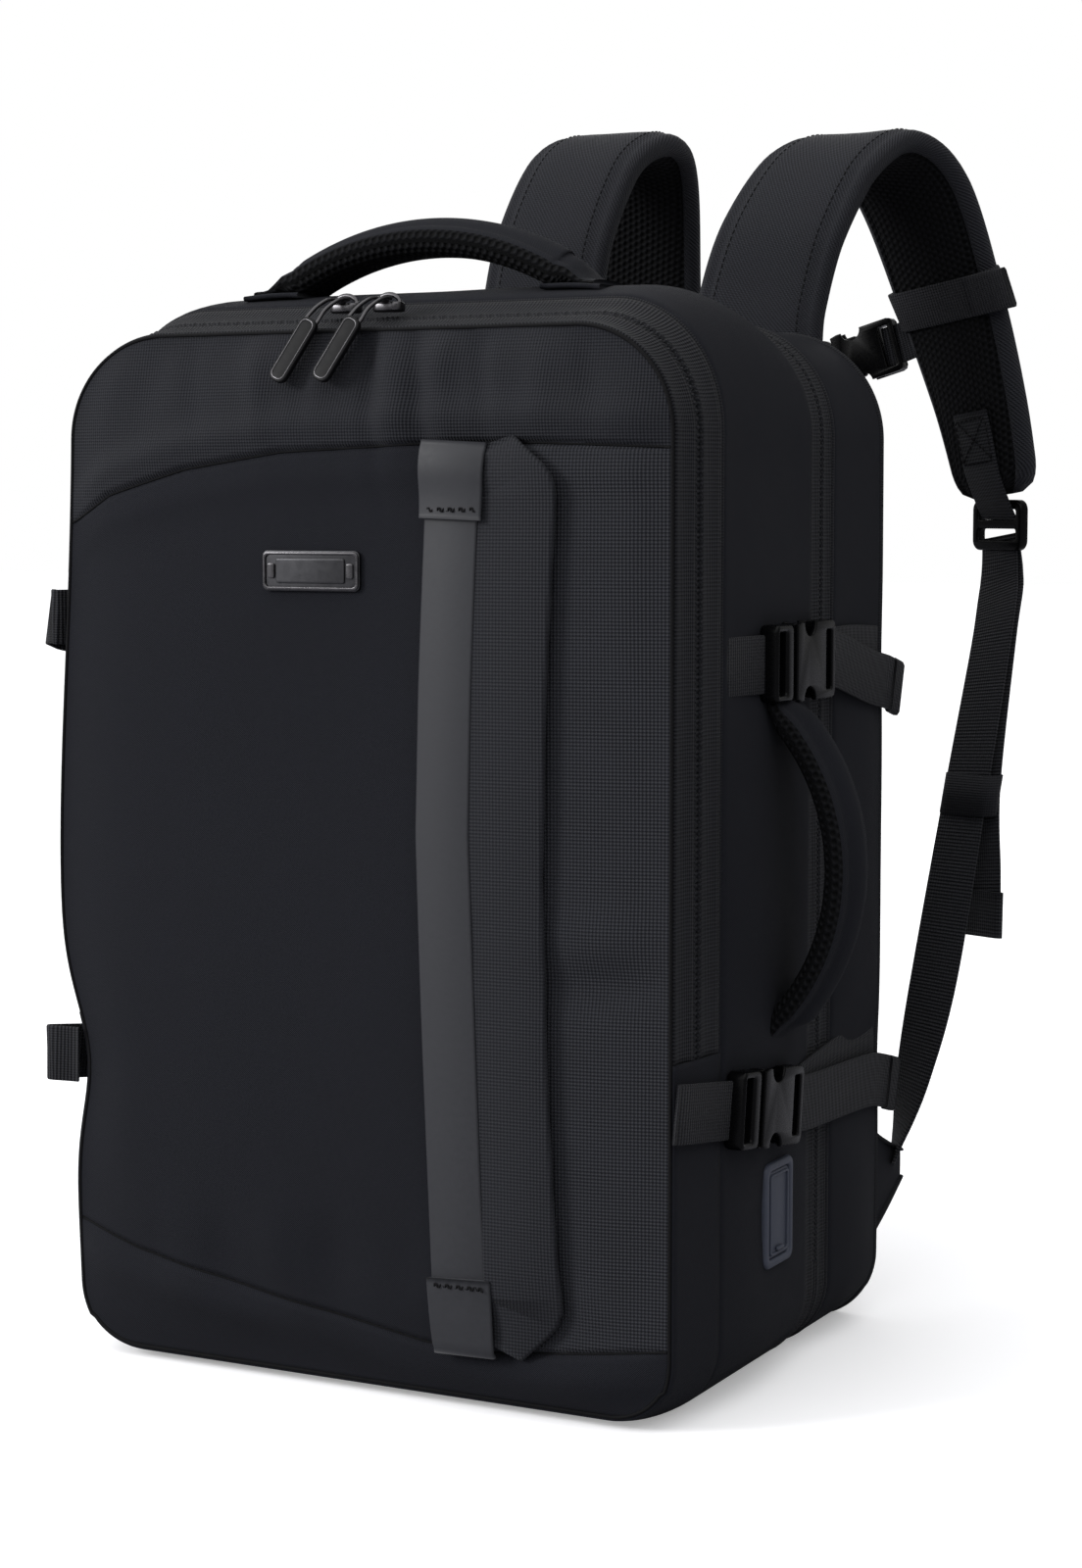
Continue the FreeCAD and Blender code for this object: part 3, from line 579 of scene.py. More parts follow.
def front_depth(x, z):
    """y of the front cloth: a crowned face that falls back to the piping at its edge."""
    wide = max(abs(edge_x(z, 1 if x > 0 else -1)), 0.02)
    a = min(abs(x) / wide, 1.0)
    middle, reach = (FRONT_TOP + FRONT_FOOT) / 2, (FRONT_TOP - FRONT_FOOT) / 2
    b = min(abs(z - middle) / reach, 1.0)
    crown = 0.0125 * (1 - a ** 4) ** 0.8 * (1 - b ** 5) ** 0.75
    upper, lower = seam_height(UPPER_SEAM, x), seam_height(LOWER_SEAM, x)
    lap = 0.0009 * (smoothstep(-0.0008, 0.0008, z - upper) + smoothstep(-0.0008, 0.0008, lower - z))
    groove = 0.0024 * (math.exp(-((z - upper) / 0.0014) ** 2) + math.exp(-((z - lower) / 0.0014) ** 2))
    puff = 0.0026 * math.exp(-((z - upper - 0.011) / 0.008) ** 2)
    puff += 0.0016 * math.exp(-((upper - z - 0.010) / 0.009) ** 2)
    puff += 0.0034 * math.exp(-((lower - z - 0.012) / 0.010) ** 2)
    edge = (1 - a ** 12) * (1 - b ** 22)
    near_zip = math.exp(-((FRONT_TOP - 0.006 - z) / 0.030) ** 2)
    gather = 0.0036 * math.exp(-((x - 0.010) / 0.060) ** 2) + 0.0022
    folds = gather * near_zip * wobble(x + (FRONT_TOP - z) * 0.25, 0, z * 0.16, 46, 1.0)
    for at_x, wide, depth, reach in PLEATS:
        across = (x - at_x - (FRONT_TOP - z) * 0.18) / wide
        folds += depth * math.exp(-across ** 2 - ((FRONT_TOP - 0.008 - z) / reach) ** 2)
    low_folds = 0.0030 * math.exp(-((z - 0.050) / 0.026) ** 2) * wobble(x * 1.1, 0.3, z * 0.45, 34, 5.0)
    slow = 0.0017 * wobble(x, 0.7, z * 0.6, 12, 8.0)
    slack = sum(dent(x, z, *row) for row in DENTS)
    return FRONT_Y - edge * (crown + lap + puff - groove + folds + low_folds + slow + slack)


def front_slope(x, z):
    """The direction across the front cloth, towards +X."""
    d = 0.002
    v = Vector((2 * d, front_depth(x + d, z) - front_depth(x - d, z), 0))
    return v.normalized()


def build_front():
    fine = [(0.022, 0.066), (0.370, 0.414)]
    heights, z = [], FRONT_FOOT
    while z < FRONT_TOP - 0.0006:
        heights.append(z)
        z += 0.0009 if any(a < z < b for a, b in fine) else 0.0022
    heights.append(FRONT_TOP)
    cols = 151
    verts, coords, marks = [], [], []
    for z in heights:
        for j in range(cols):
            t = -1 + 2 * j / (cols - 1)
            wide = abs(edge_x(z, 1 if t > 0 else -1))
            x = wide * (0.35 * math.sin(t * math.pi / 2) + 0.65 * t)
            verts.append((x, front_depth(x, z), z))
            coords.append((x, z))
    faces = grid_faces(len(heights), cols)
    for i in range(len(heights) - 1):
        for j in range(cols - 1):
            x, _, z = verts[i * cols + j]
            if z > seam_height(UPPER_SEAM, x):
                marks.append(1)
            elif z < seam_height(LOWER_SEAM, x):
                marks.append(0)
            else:
                marks.append(2 if x > 0.075 else 0)
    obj = add_mesh("front_cloth", verts, faces, None, [M["plain"], M["yoke"], M["ballistic"], M["lining"]],
                   coords=coords, face_mats=marks)
    thicken(obj, 0.0022, inner_mat=3)
    apply_modifiers(obj)
    fold = dict(start=(0, FRONT_Y, FOLD_Z - 0.011), end=(0, FRONT_Y, FOLD_Z + 0.011))
    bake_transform(obj)
    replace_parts(obj, "front_panel")
    seams = (("yoke_seam_line", UPPER_SEAM, "front_lid"), ("foot_seam_line", LOWER_SEAM, "bag"))
    for name, seam, body in seams:
        line = []
        for x in np.linspace(edge_x(seam[0][1], -1) + 0.001, edge_x(seam[-1][1]) - 0.001, 110):
            z = seam_height(seam, x)
            line.append((x, front_depth(x, z) - 0.0001, z))
        sweep(name, np.array(line), (0, 0, 1), round_profile(0.0006, 6), body, [M["thread"]])
    return fold


def on_front(name, mat, z0, z1, left, right, lift, thick, step=0.004):
    """A flat strip that lies on the front cloth. left and right give its edges at each height."""
    path, across, widths = [], [], []
    count = max(6, int((z1 - z0) / step))
    for i in range(count + 1):
        z = z0 + (z1 - z0) * i / count
        a, b = left(z), right(z)
        x = (a + b) / 2
        d = front_slope(x, z)
        y = min(front_depth(a, z) + (x - a) * d.y / max(d.x, 0.1), front_depth(x, z)) - lift - thick / 2
        path.append((x, y, z))
        across.append(tuple(d))
        widths.append(b - a)
    path = np.array(path)
    _, side, normal = frames(path, np.array(across))
    verts = []
    for i in range(len(path)):
        ring = np.array(strap_profile(widths[i], thick, points=4))
        verts.append(path[i] + ring[:, :1] * side[i] + ring[:, 1:] * normal[i])
    cols = len(verts[0])
    faces = grid_faces(len(path), cols, wrap_cols=True) + end_caps(len(path), cols)
    verts = np.concatenate(verts)
    return add_mesh(name, verts, faces, None, [mat], coords=verts[:, [0, 2]])


# Edges on the front as (z, x): the trim strip's left one, and the flap's right one with its cut corners.
STRIP_LEFT = [(0.030, 0.0420), (0.064, 0.0410), (0.185, 0.0370), (0.246, 0.0350), (0.308, 0.0365),
              (0.405, 0.0400)]
FLAP_RIGHT = [(0.030, 0.0815), (0.050, 0.0995), (0.067, 0.0985), (0.148, 0.0945), (0.229, 0.0925),
              (0.309, 0.0945), (0.388, 0.0985), (0.407, 0.0790)]


def table(rows, z):
    heights, values = zip(*rows)
    return float(np.interp(z, heights, values))


def build_front_trim():
    def left(z):
        return table(STRIP_LEFT, z)

    strap = on_front("trim_strip", M["trim"], 0.030, 0.405, left, lambda z: left(z) + 0.025, 0.0042, 0.0020)
    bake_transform(strap)
    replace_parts(strap, "trim_strap", "trim_strap_lower")
    flap = on_front("pocket_flap_cloth", M["flap"], 0.0300, 0.4070, lambda z: left(z) + 0.0235,
                    lambda z: table(FLAP_RIGHT, z), 0.0018, 0.0036, step=0.003)
    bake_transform(flap)
    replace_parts(flap, "pocket_flap", "pocket_flap_lower")
    for name, z0, z1, body, stitch_z in (("keeper_top", 0.376, 0.4075, "front_lid", 0.3795),
                                         ("keeper_foot", 0.0270, 0.0600, "bag", 0.0565)):
        keeper = on_front(name, M["trim"], z0, z1, lambda z: left(z) - 0.0015, lambda z: left(z) + 0.0275,
                          0.0062, 0.0020, step=0.002)
        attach(keeper, body)
        start = left(stitch_z)
        row = []
        for k in range(40):
            x = start + 0.0005 + 0.0245 * k / 39
            dip = 0.0011 if k % 4 < 2 else -0.0003
            rise = 0.0006 if k % 8 < 4 else -0.0003
            row.append((x, front_depth(x, stitch_z) - 0.0084 + rise, stitch_z + dip))
        sweep(f"{name}_stitch", np.array(row), (0, 0, 1), round_profile(0.00045, 6), body, [M["thread"]])


def stitches(name, path, normal, radius, pitch=0.0034, length=0.0024):
    """A row of sewn stitches along a path, as short rounded threads."""
    path = np.asarray(path, dtype=float)
    run = run_along(path)
    verts, faces = [], []
    count = int(run[-1] / pitch)
    for k in range(count):
        s0 = k * pitch + 0.0004
        ends = [np.array([np.interp(s, run, path[:, a]) for a in range(3)]) for s in (s0, s0 + length)]
        along = unit(ends[1] - ends[0])
        side = unit(np.cross(along, normal))
        up = np.cross(side, along)
        base = len(verts)
        for at, r in ((0, 0.3), (0.2, 1), (0.8, 1), (1, 0.3)):
            centre = ends[0] + (ends[1] - ends[0]) * at
            for m in range(5):
                a = 2 * math.pi * m / 5
                verts.append(centre + radius * r * (math.cos(a) * side + math.sin(a) * up))
        for i in range(3):
            for m in range(5):
                n = (m + 1) % 5
                faces.append((base + i * 5 + m, base + i * 5 + n, base + i * 5 + 5 + n, base + i * 5 + 5 + m))
        faces.append(tuple(base + m for m in reversed(range(5))))
        faces.append(tuple(base + 15 + m for m in range(5)))
    return add_mesh(name, verts, faces, None, [M["thread"]], coords=np.zeros((len(verts), 2)))


# ---- the shell round the bag


def build_shell():
    level = float(RIM[int(np.argmin(np.abs(RIM[:, 1] - FOLD_Z))), 1])
    lid = dict(low_z=level - 0.0001)

    def ridge(t):
        """The tape sags a little between its two edges."""
        return -0.0016 + 0.0012 * abs(2 * t - 1) ** 2

    shell_band("lid_tape", "front_lid", M["tape"], FRONT_Y + 0.001, LID_Y - 0.0018, out=ridge, rows=7,
               replaces=("main_zip_tape_lid",), **lid)
    shell_band("bag_tape", "bag", M["tape"], LID_Y + 0.0018, MAIN_Y - 0.001, out=ridge, rows=7,
               replaces=("main_zip_tape_bag",), **lid)
    edge_tube("main_coil_lid", "front_lid", M["tape"], LID_Y - 0.0013, 0.0017, out=-0.0004, beads=0.16, **lid)
    edge_tube("main_coil_bag", "bag", M["tape"], LID_Y + 0.0022, 0.0017, out=-0.0004, beads=0.16, **lid)
    shell_band("front_foot_side", "bag", M["plain"], FRONT_Y + 0.0005, MAIN_Y, high_z=level + 0.0001, rows=10,
               replaces=("front_lower_panel",))
    gusset = shell_band("main_gusset", "bag", M["plain"], MAIN_Y, REAR_A, rows=26,
                        replaces=("top_gusset", "right_gusset", "left_gusset", "bottom_panel"))
    shell_band("rear_tape_front", "bag", M["tape"], REAR_A + 0.0005, 0.0293, out=ridge, rows=6,
               replaces=("rear_zip_tape",))
    shell_band("rear_tape_back", "bag", M["tape"], 0.0327, REAR_B - 0.0005, out=ridge, rows=6)
    shell_band("rear_zip_end", "bag", M["tape"], 0.0288, 0.0332, high_z=0.043, out=ridge, rows=3)
    edge_tube("rear_coil_front", "bag", M["tape"], 0.0295, 0.0016, out=-0.0004, beads=0.16, low_z=0.04)
    edge_tube("rear_coil_back", "bag", M["tape"], 0.0327, 0.0016, out=-0.0004, beads=0.16, low_z=0.04)
    shell_band("rear_gusset_cloth", "bag", M["plain"], REAR_B, BACK_Y, rows=16, replaces=("rear_gusset",))
    piping = edge_tube("piping_front", None, M["thread"], FRONT_Y, 0.0008)
    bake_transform(piping)
    for name, y, radius in (("piping_main", MAIN_Y, 0.0016), ("piping_rear_front", REAR_A, 0.0018),
                            ("piping_rear_back", REAR_B, 0.0018), ("piping_back", BACK_Y - 0.002, 0.0028)):
        edge_tube(name, "bag", M["binding"], y, radius)


def build_back_panel():
    """The mesh sheet that lies behind the back pads."""
    heights = np.linspace(0.002, 0.457, 120)
    cols = 81
    verts, coords = [], []
    for z in heights:
        wide = edge_x(z) - 0.001
        for j in range(cols):
            x = wide * (-1 + 2 * j / (cols - 1))
            edge = (1 - (abs(x) / max(wide, 0.01)) ** 6) * (1 - (abs(z - 0.23) / 0.23) ** 8)
            verts.append((x, BACK_Y - 0.001 + 0.0025 * edge + 0.0006 * wobble(x, 1, z, 18), z))
            coords.append((x, z))
    faces = [tuple(reversed(f)) for f in grid_faces(len(heights), cols)]
    sheet = add_mesh("back_sheet", verts, faces, None, [M["mesh"]], coords=coords)
    thicken(sheet, 0.002)
    apply_modifiers(sheet)
    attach(sheet, "bag")
    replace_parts(sheet, "back_panel")


# ---- padded pieces


def pad_ring(half, thick, count=26, groove=0.0, groove_in=0.007, power=5):
    """A crowned pad's section: its outer side first (normal < 0), then its inner side."""
    xs = half * np.sin(np.linspace(-math.pi / 2, math.pi / 2, count))
    h = thick / 2 * (1 - np.abs(xs / half) ** power) ** (1 / 2.4)
    dip = groove * np.exp(-((np.abs(xs) - (half - groove_in)) / 0.0012) ** 2)
    outer = np.stack([xs, -(h - dip)], axis=1)
    inner = np.stack([xs[::-1], (h - dip)[::-1]], axis=1)
    return np.concatenate([outer, inner[1:-1]])


def mirror_copy(obj, name):
    """The same piece on the other side of the bag."""
    mesh = obj.data.copy()
    mesh.transform(((-1, 0, 0, 0), (0, 1, 0, 0), (0, 0, 1, 0), (0, 0, 0, 1)))
    mesh.flip_normals()
    copy = bpy.data.objects.new(name, mesh)
    bpy.context.scene.collection.objects.link(copy)
    return copy


def on_bag(obj, _):
    """Either side's piece, sewn to the bag itself."""
    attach(obj, "bag")


def both_sides(make, name, place=on_bag):
    """Makes a piece for the right side and its mirror image, then places each with place(obj, side)."""
    right = make(f"{name}_right")
    left = mirror_copy(right, f"{name}_left")
    place(right, "right")
    place(left, "left")
    return right, left


# Each pad's middle line as (x, y, z, yaw, half width): both lean to the bag's right as they rise.
PADS = {
    "right": [
        (82, 110.5, 430, 0, 33),
        (82.5, 112, 452, 0, 33),
        (84, 115, 476, 0, 32.5),
        (92, 122, 510, 0, 31.5),
        (104, 141, 541, -3, 31),
        (117, 166, 551, -6, 31.5),
        (130, 191, 533, -13, 32.5),
        (143, 211, 482, -20, 32),
        (156, 219, 432, -26, 30),
        (165, 224, 386, -30, 27.5),
    ],
    "left": [
        (-38, 110.5, 430, 0, 33),
        (-35, 112, 452, 0, 33),
        (-32, 114, 476, 0, 32.5),
        (-28, 119.5, 510, 0, 31.5),
        (-20.5, 138, 546, 0, 31),
        (-13, 164, 558, 0, 31.5),
        (-17, 190, 546, 0, 32.5),
        (-22, 207, 505, 0, 32),
        (-27, 220, 445, 4, 30),
        (-37, 228, 386, 8, 27.5),
    ],
}


def pad_stations(side):
    fine = curve_through(np.array(PADS[side]) * MM, 0.0035)
    path = fine[:, :3]
    yaw = np.radians(fine[:, 3] / MM)
    across = np.stack([np.cos(yaw), np.sin(yaw), np.zeros(len(yaw))], axis=1)
    return path, across, fine[:, 4]


PAD_HALF_THICK = 0.00725


def pad_face(x, half):
    """How far a pad's crowned face stands from its middle, x across it."""
    return PAD_HALF_THICK * (1 - min(abs(x / half), 1) ** 5) ** (1 / 2.4)


def build_pad(side):
    """One shoulder pad with its stitching; returns its line for the parts sewn to it."""
    path, across, half = pad_stations(side)
    run = run_along(path)
    total = run[-1]
    count = 30
    _, out, normal = frames(path, across)

    def section(t):
        s = t * total
        wide = float(np.interp(s, run, half))
        left = total - s
        wide *= 0.62 + 0.38 * math.sqrt(max(1 - max(1 - left / 0.016, 0) ** 2, 0))
        thick = 2 * PAD_HALF_THICK * (0.45 + 0.55 * math.sqrt(max(1 - max(1 - left / 0.009, 0) ** 2, 0)))
        thick *= 0.55 + 0.45 * float(smoothstep(0.0, 0.03, s))
        return pad_ring(wide, thick, count=count, groove=0.0016)

    def paint(col):
        if col * (2 * count - 2) < count - 1:
            return 0
        inward = (col * (2 * count - 2) - (count - 1)) / (count - 1)
        x = abs(math.sin(math.pi / 2 - math.pi * inward))
        return 1 if x < 0.80 else 0

    pad = sweep(f"shoulder_pad_cloth_{side}", path, across, section, None, [M["twill"], M["mesh"]],
                face_mat=paint)
    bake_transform(pad)
    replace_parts(pad, f"shoulder_pad_{side}", *(["pad_roots"] if side == "right" else []))

    low, high, wide = total - 0.040, total - 0.018, 0.0105
    a, b, c, d = (low, -wide), (low, wide), (high, wide), (high, -wide)
    corners = [a, b, c, d, a, c, d, b]
    pts = []
    for (s0, x0), (s1, x1) in zip(corners, corners[1:]):
        for k in range(12):
            s, x = s0 + (s1 - s0) * k / 12, x0 + (x1 - x0) * k / 12
            i = int(np.argmin(np.abs(run - s)))
            pts.append(path[i] + out[i] * x + normal[i] * (PAD_HALF_THICK + 0.0020))
    mid = int(np.argmin(np.abs(run - (total - 0.029))))
    cross = stitches(f"pad_cross_stitch_{side}", pts, tuple(normal[mid]), radius=0.0005, pitch=0.0032)
    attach(cross, f"strap_{side}")

    rows = []
    for sign in (-1, 1):
        line = []
        for i in range(4, len(path) - 6):
            x = sign * (half[i] - 0.0105)
            line.append(path[i] + out[i] * x - normal[i] * (pad_face(x, half[i]) + 0.0001))
        rows.append(stitches(f"pad_edge_stitch_{side}_{len(rows)}", line, (0, -1, 0), radius=0.00028))
    edge = join(*rows)
    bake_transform(edge)
    return path, across, half, run


def join(obj, *others):
    """Adds other meshes' faces to obj and removes them."""
    bm = bmesh.new()
    bm.from_mesh(obj.data)
    for other in others:
        bm.from_mesh(other.data)
        bpy.data.objects.remove(other)
    bm.to_mesh(obj.data)
    bm.free()
    return obj


def webbing(name, points, width=0.025, thick=0.0016, across=(0, 0, 1), body=None, step=0.004, mat="webbing"):
    """A length of webbing through points that hold x, y, z and optionally its own across direction."""
    fine = curve_through(np.array(points) * MM, step)
    side = unit(fine[:, 3:]) if fine.shape[1] > 3 else across
    return sweep(name, fine[:, :3], side, strap_profile(width, thick), body, [M[mat]])


# The adjuster webbing under each pad as (x, y, z, yaw): its sewn length, then its loose end.
ADJUSTERS = {
    "right": (
        [(165.5, 224.5, 366, -30), (167, 220, 345, -28), (169.5, 203, 316, -24), (167.5, 175, 247, -16),
         (161, 152, 160, -8), (154, 142, 110, -30), (147.5, 139, 78, -60), (146, 136, 66, -70)],
        [(166, 226.5, 366, -30), (168.5, 224, 345, -28), (170.5, 207, 316, -24), (171.5, 181.5, 247, -18),
         (175, 176, 205, -24), (177, 173, 176, -28)],
    ),
    "left": (
        [(-38, 227, 366, 8), (-40, 222, 345, 9), (-51, 207, 313, 10), (-84, 178, 247, 9),
         (-122, 155, 160, 10), (-143, 144, 110, 30), (-147, 139, 78, 60), (-146, 136, 66, 70)],
        [(-38, 229, 366, 8), (-39.5, 226, 345, 9), (-48, 212, 313, 10), (-56, 200, 260, 10),
         (-58, 191, 215, 9), (-59, 188, 178, 8)],
    ),
}


# The elastic keeper on each adjuster webbing: its centre, yaw and width.
KEEPERS = {"right": ((0.1690, 0.1770, 0.2425), -17, 0.031), "left": ((-0.0505, 0.2080, 0.3080), 10, 0.038)}


def build_adjuster(side):
    def yawed(rows):
        return [(x, y, z, *heading(yaw)) for x, y, z, yaw in rows]

    def place(obj):
        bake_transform(obj)

    sewn, loose = ADJUSTERS[side]
    main = webbing(f"adjuster_main_{side}", yawed(sewn))
    place(main)
    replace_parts(main, f"adjuster_webbing_{side}")
    place(webbing(f"adjuster_tail_{side}", yawed(loose)))
    x, y, z, yaw = loose[-1]
    hem = yawed([(x, y + 0.6, z + 20, yaw), (x, y - 0.4, z - 2, yaw)])
    place(webbing(f"adjuster_tail_hem_{side}", hem, width=0.0262, thick=0.0042))

    centre, yaw, wide = KEEPERS[side]
    across = np.array(heading(yaw))
    normal = np.array([-across[1], across[0], 0])
    ring = np.array(strap_profile(wide, 0.0125, points=6))
    inner = np.array(strap_profile(wide - 0.003, 0.0095, points=6))
    verts = []
    for z, r in ((-0.0095, ring), (0.0095, ring), (0.0095, inner), (-0.0095, inner)):
        for a, b in r:
            verts.append(np.array(centre) + across * a + normal * b + np.array([z * 0.06, z * 0.3, z]))
    faces = grid_faces(4, len(ring), wrap_cols=True, wrap_rows=True)
    coords = [(v[0], v[2]) for v in verts]
    place(add_mesh(f"adjuster_keeper_{side}", verts, faces, None, [M["binding"]], coords=coords))


def build_anchor_tabs():
    def tab(name):
        verts, coords = [], []
        rows = 14
        for i in range(rows):
            t = i / (rows - 1)
            y = 103 + 43 * t
            half = 27 * (1 - t) + 7 * t
            zc = 63 + 2 * t
            for j in range(9):
                s = -1 + 2 * j / 8
                crown = 0.0012 * math.sin(math.pi * t) * (1 - s * s)
                verts.append((0.1452 + crown, y * MM, (zc + half * s) * MM))
                coords.append((y * MM, (zc + half * s) * MM))
        obj = add_mesh(name, verts, grid_faces(rows, 9), None, [M["plain"]], coords=coords)
        thicken(obj, 0.0026, offset=0)
        bevel = obj.modifiers.new("soft", "BEVEL")
        bevel.width = 0.0007
        bevel.segments = 2
        return apply_modifiers(obj)

    right, _ = both_sides(tab, "anchor_tab_cloth")
    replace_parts(right, "anchor_tabs")

    def tab_edge(name):
        edges = []
        for tag, heights in (("", (0.0885, 0.079, 0.0715)), ("_b", (0.0375, 0.048, 0.0585))):
            line = curve_through(list(zip((0.1455, 0.146, 0.1455), (0.105, 0.125, 0.146), heights)), 0.004)
            edges.append(sweep(name + tag, line, (1, 0, 0), strap_profile(0.005, 0.0016), None,
                               [M["binding"]]))
        return join(*edges)

    both_sides(tab_edge, "anchor_tab_edge")


# ---- handles


def bow_points(span, rise, feet, lead):
    """A handle's line in its own plane: flat feet, then a bow, as (across, up) in metres."""
    half = span / 2
    radius = (half * half + rise * rise) / (2 * rise)
    pts = []
    limit = math.acos(max(-1, min(1, (radius - rise) / radius)))
    for k in range(41):
        a = -limit + 2 * limit * k / 40
        pts.append((radius * math.sin(a), rise - radius + radius * math.cos(a)))
    pts = [p for p in pts if p[1] > 0.006]
    start = [(-half - feet, 0.0012), (-half - feet * 0.3, 0.0018), (-half + lead * 0.35, 0.0055)]
    return start + pts + [(-a, b) for a, b in reversed(start)]


def handle(name, place, span, rise, width, thick, twist, smooth_from=0.20):
    """A padded grip: smooth cloth outside with a raised middle, mesh inside."""
    line = curve_through([place(a, b) for a, b in bow_points(span, rise - thick / 2, 0.010, 0.012)], 0.003)
    count = 24

    def section(t):
        grip = float(smoothstep(0.02, 0.14, t) * smoothstep(0.02, 0.14, 1 - t))
        deep = 0.0035 + (thick - 0.0035) * grip
        ring = pad_ring(width / 2 * (0.94 + 0.06 * grip), deep, count=count, power=3.2)
        hump = np.exp(-(ring[:, 0] / 0.0062) ** 2) * 0.0030 * grip
        pinch = np.exp(-((np.abs(ring[:, 0]) - 0.0088) / 0.0016) ** 2) * 0.0014 * grip
        ring[:count, 1] += -hump[:count] + pinch[:count]
        return ring

    def paint(col):
        across = col * (2 * count - 2) / (count - 1)
        return 0 if smooth_from < across < 1 - smooth_from else 1

    return sweep(name, line, twist, section, None, [M["plain"], M["mesh"]], face_mat=paint)


SIDE_GRIP_Y = -0.022


def build_handles():
    top_y = -0.050
    base = SHELL_TOP + crown_height(top_y) + 0.0015

    def place_top(a, b):
        return (-a, top_y, base + b)

    grip = handle("top_grip", place_top, 0.148, 0.0295, 0.031, 0.014, (0, 1, 0), smooth_from=0.10)
    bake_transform(grip)
    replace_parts(grip, "top_handle")

    def place_side(a, b):
        return (HALF_W + 0.0028 + b, SIDE_GRIP_Y, 0.2275 + a)

    side = handle("side_grip", place_side, 0.141, 0.0385, 0.034, 0.012, (0, 1, 0), smooth_from=0.15)
    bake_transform(side)
    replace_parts(side, "side_handle")
    grip_y = SIDE_GRIP_Y / MM
    patches = []
    for sign in (-1, 1):
        high = base / MM + 0.3
        rows = [(sign * 60, -50, high), (sign * 74, -50, high), (sign * 88, -50, high - 1.0)]
        patches.append(webbing(f"top_foot_{'left' if sign < 0 else 'right'}", rows, width=0.034, thick=0.0022,
                               across=(0, 1, 0), body="bag", mat="plain"))
    feet = (("side_foot_low", [(149.6, grip_y, 170), (149.8, grip_y, 160), (149.2, grip_y, 150)]),
            ("side_foot_high", [(149.6, grip_y, 284), (149.8, grip_y, 292), (149.4, grip_y, 297)]))
    for name, rows in feet:
        patches.append(webbing(name, rows, width=0.036, thick=0.0022, across=(0, 1, 0), body="bag",
                               mat="plain"))
    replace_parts(patches[0], "handle_feet")


# ---- side straps


# The two rows of side straps: height and tilt (degrees), y of the sewn front end and of the buckle's
# mouth, how far the left one's slack runs forward, bulges and rises, and the heights of the rear
# webbing's sewn foot and of its loose end.
SIDE_ROWS = {
    "upper": dict(z=315, tilt=0, start=-76, mouth=-23,
                  fore=16, bulge=13.0, raised=16, sewn_z=314, tail_z=297),
    "lower": dict(z=128.5, tilt=-7, start=-116, mouth=-56,
                  fore=2, bulge=0.0, raised=0, sewn_z=133, tail_z=110),
}


def build_side_webbing():
    face = HALF_W * 1000
    for row, sizes in SIDE_ROWS.items():
        z, tilt, start, mouth, fore, bulge, raised, sewn_z, tail_z = sizes.values()
        slope = math.tan(math.radians(tilt))

        def at(y, x):
            return (x, y, z + slope * (y - mouth))

        bar = mouth - 13.5
        front = [at(start, face - 0.5), at(start + 6, face + 1.6), at((start + bar) / 2, face + 3.0),
                 at(bar - 6, face + 5.0), at(bar + 1.5, face + 7.2)]
        slack = [at(start, 0.5 - face), at(start - fore * 0.6, -face - 6.0 - bulge),
                 at(start - fore - 1, -face - 12.0 - bulge), at(start - fore + 2, -face - 16.0 - bulge),
                 at(start - fore + 9, -face - 15.5 - bulge),
                 at(bar - 8, -face - 9.0 - bulge * 0.3), at(bar + 1.5, -face - 7.2)]
        slack = [(x, y, height + raised * share)
                 for (x, y, height), share in zip(slack, (1, 1, 1, 1, 0.8, 0.3, 0))]
        for side, line in (("right", front), ("left", slack)):
            anchor = webbing(f"{row}_front_webbing_{side}", line, body="bag", step=0.003)
            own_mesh(anchor)
        end = mouth + 44
        rear = [at(end - 12.5, face + 7.2), at(end - 8, face + 5.5), at(end + 2, face + 4.0),
                (face + 2.6, (end + 103) / 2, (z + slope * (end - mouth) + sewn_z) / 2 + 1.0),
                (face + 1.6, 96, sewn_z), (face - 1.0, 105, sewn_z)]
        loose = [at(end - 4, face + 8.6), at(end + 3, face + 8.2),
                 (face + 7.0, end + 22, z + slope * (end - mouth) - 3),
                 (face + 6.2, 78, (z + tail_z) / 2 - 2),
                 (face + 5.0, 104, tail_z + 3), (face + 5.5, 114, tail_z)]
        hem = [(face + 5.2, 108, tail_z + 1.6), (face + 5.5, 117, tail_z - 0.8)]
        both_sides(lambda name: webbing(name, rear), f"{row}_rear_webbing")
        both_sides(lambda name: webbing(name, loose), f"{row}_tail_webbing")
        both_sides(lambda name: webbing(name, hem, width=0.026, thick=0.0040, step=0.003), f"{row}_tail_hem")
    anchors = bpy.data.objects["upper_front_webbing_right"]
    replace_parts(anchors, "strap_anchors")
    runs = bpy.data.objects["upper_rear_webbing_right"]
    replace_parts(runs, "compression_webbing")


# ---- chest strap


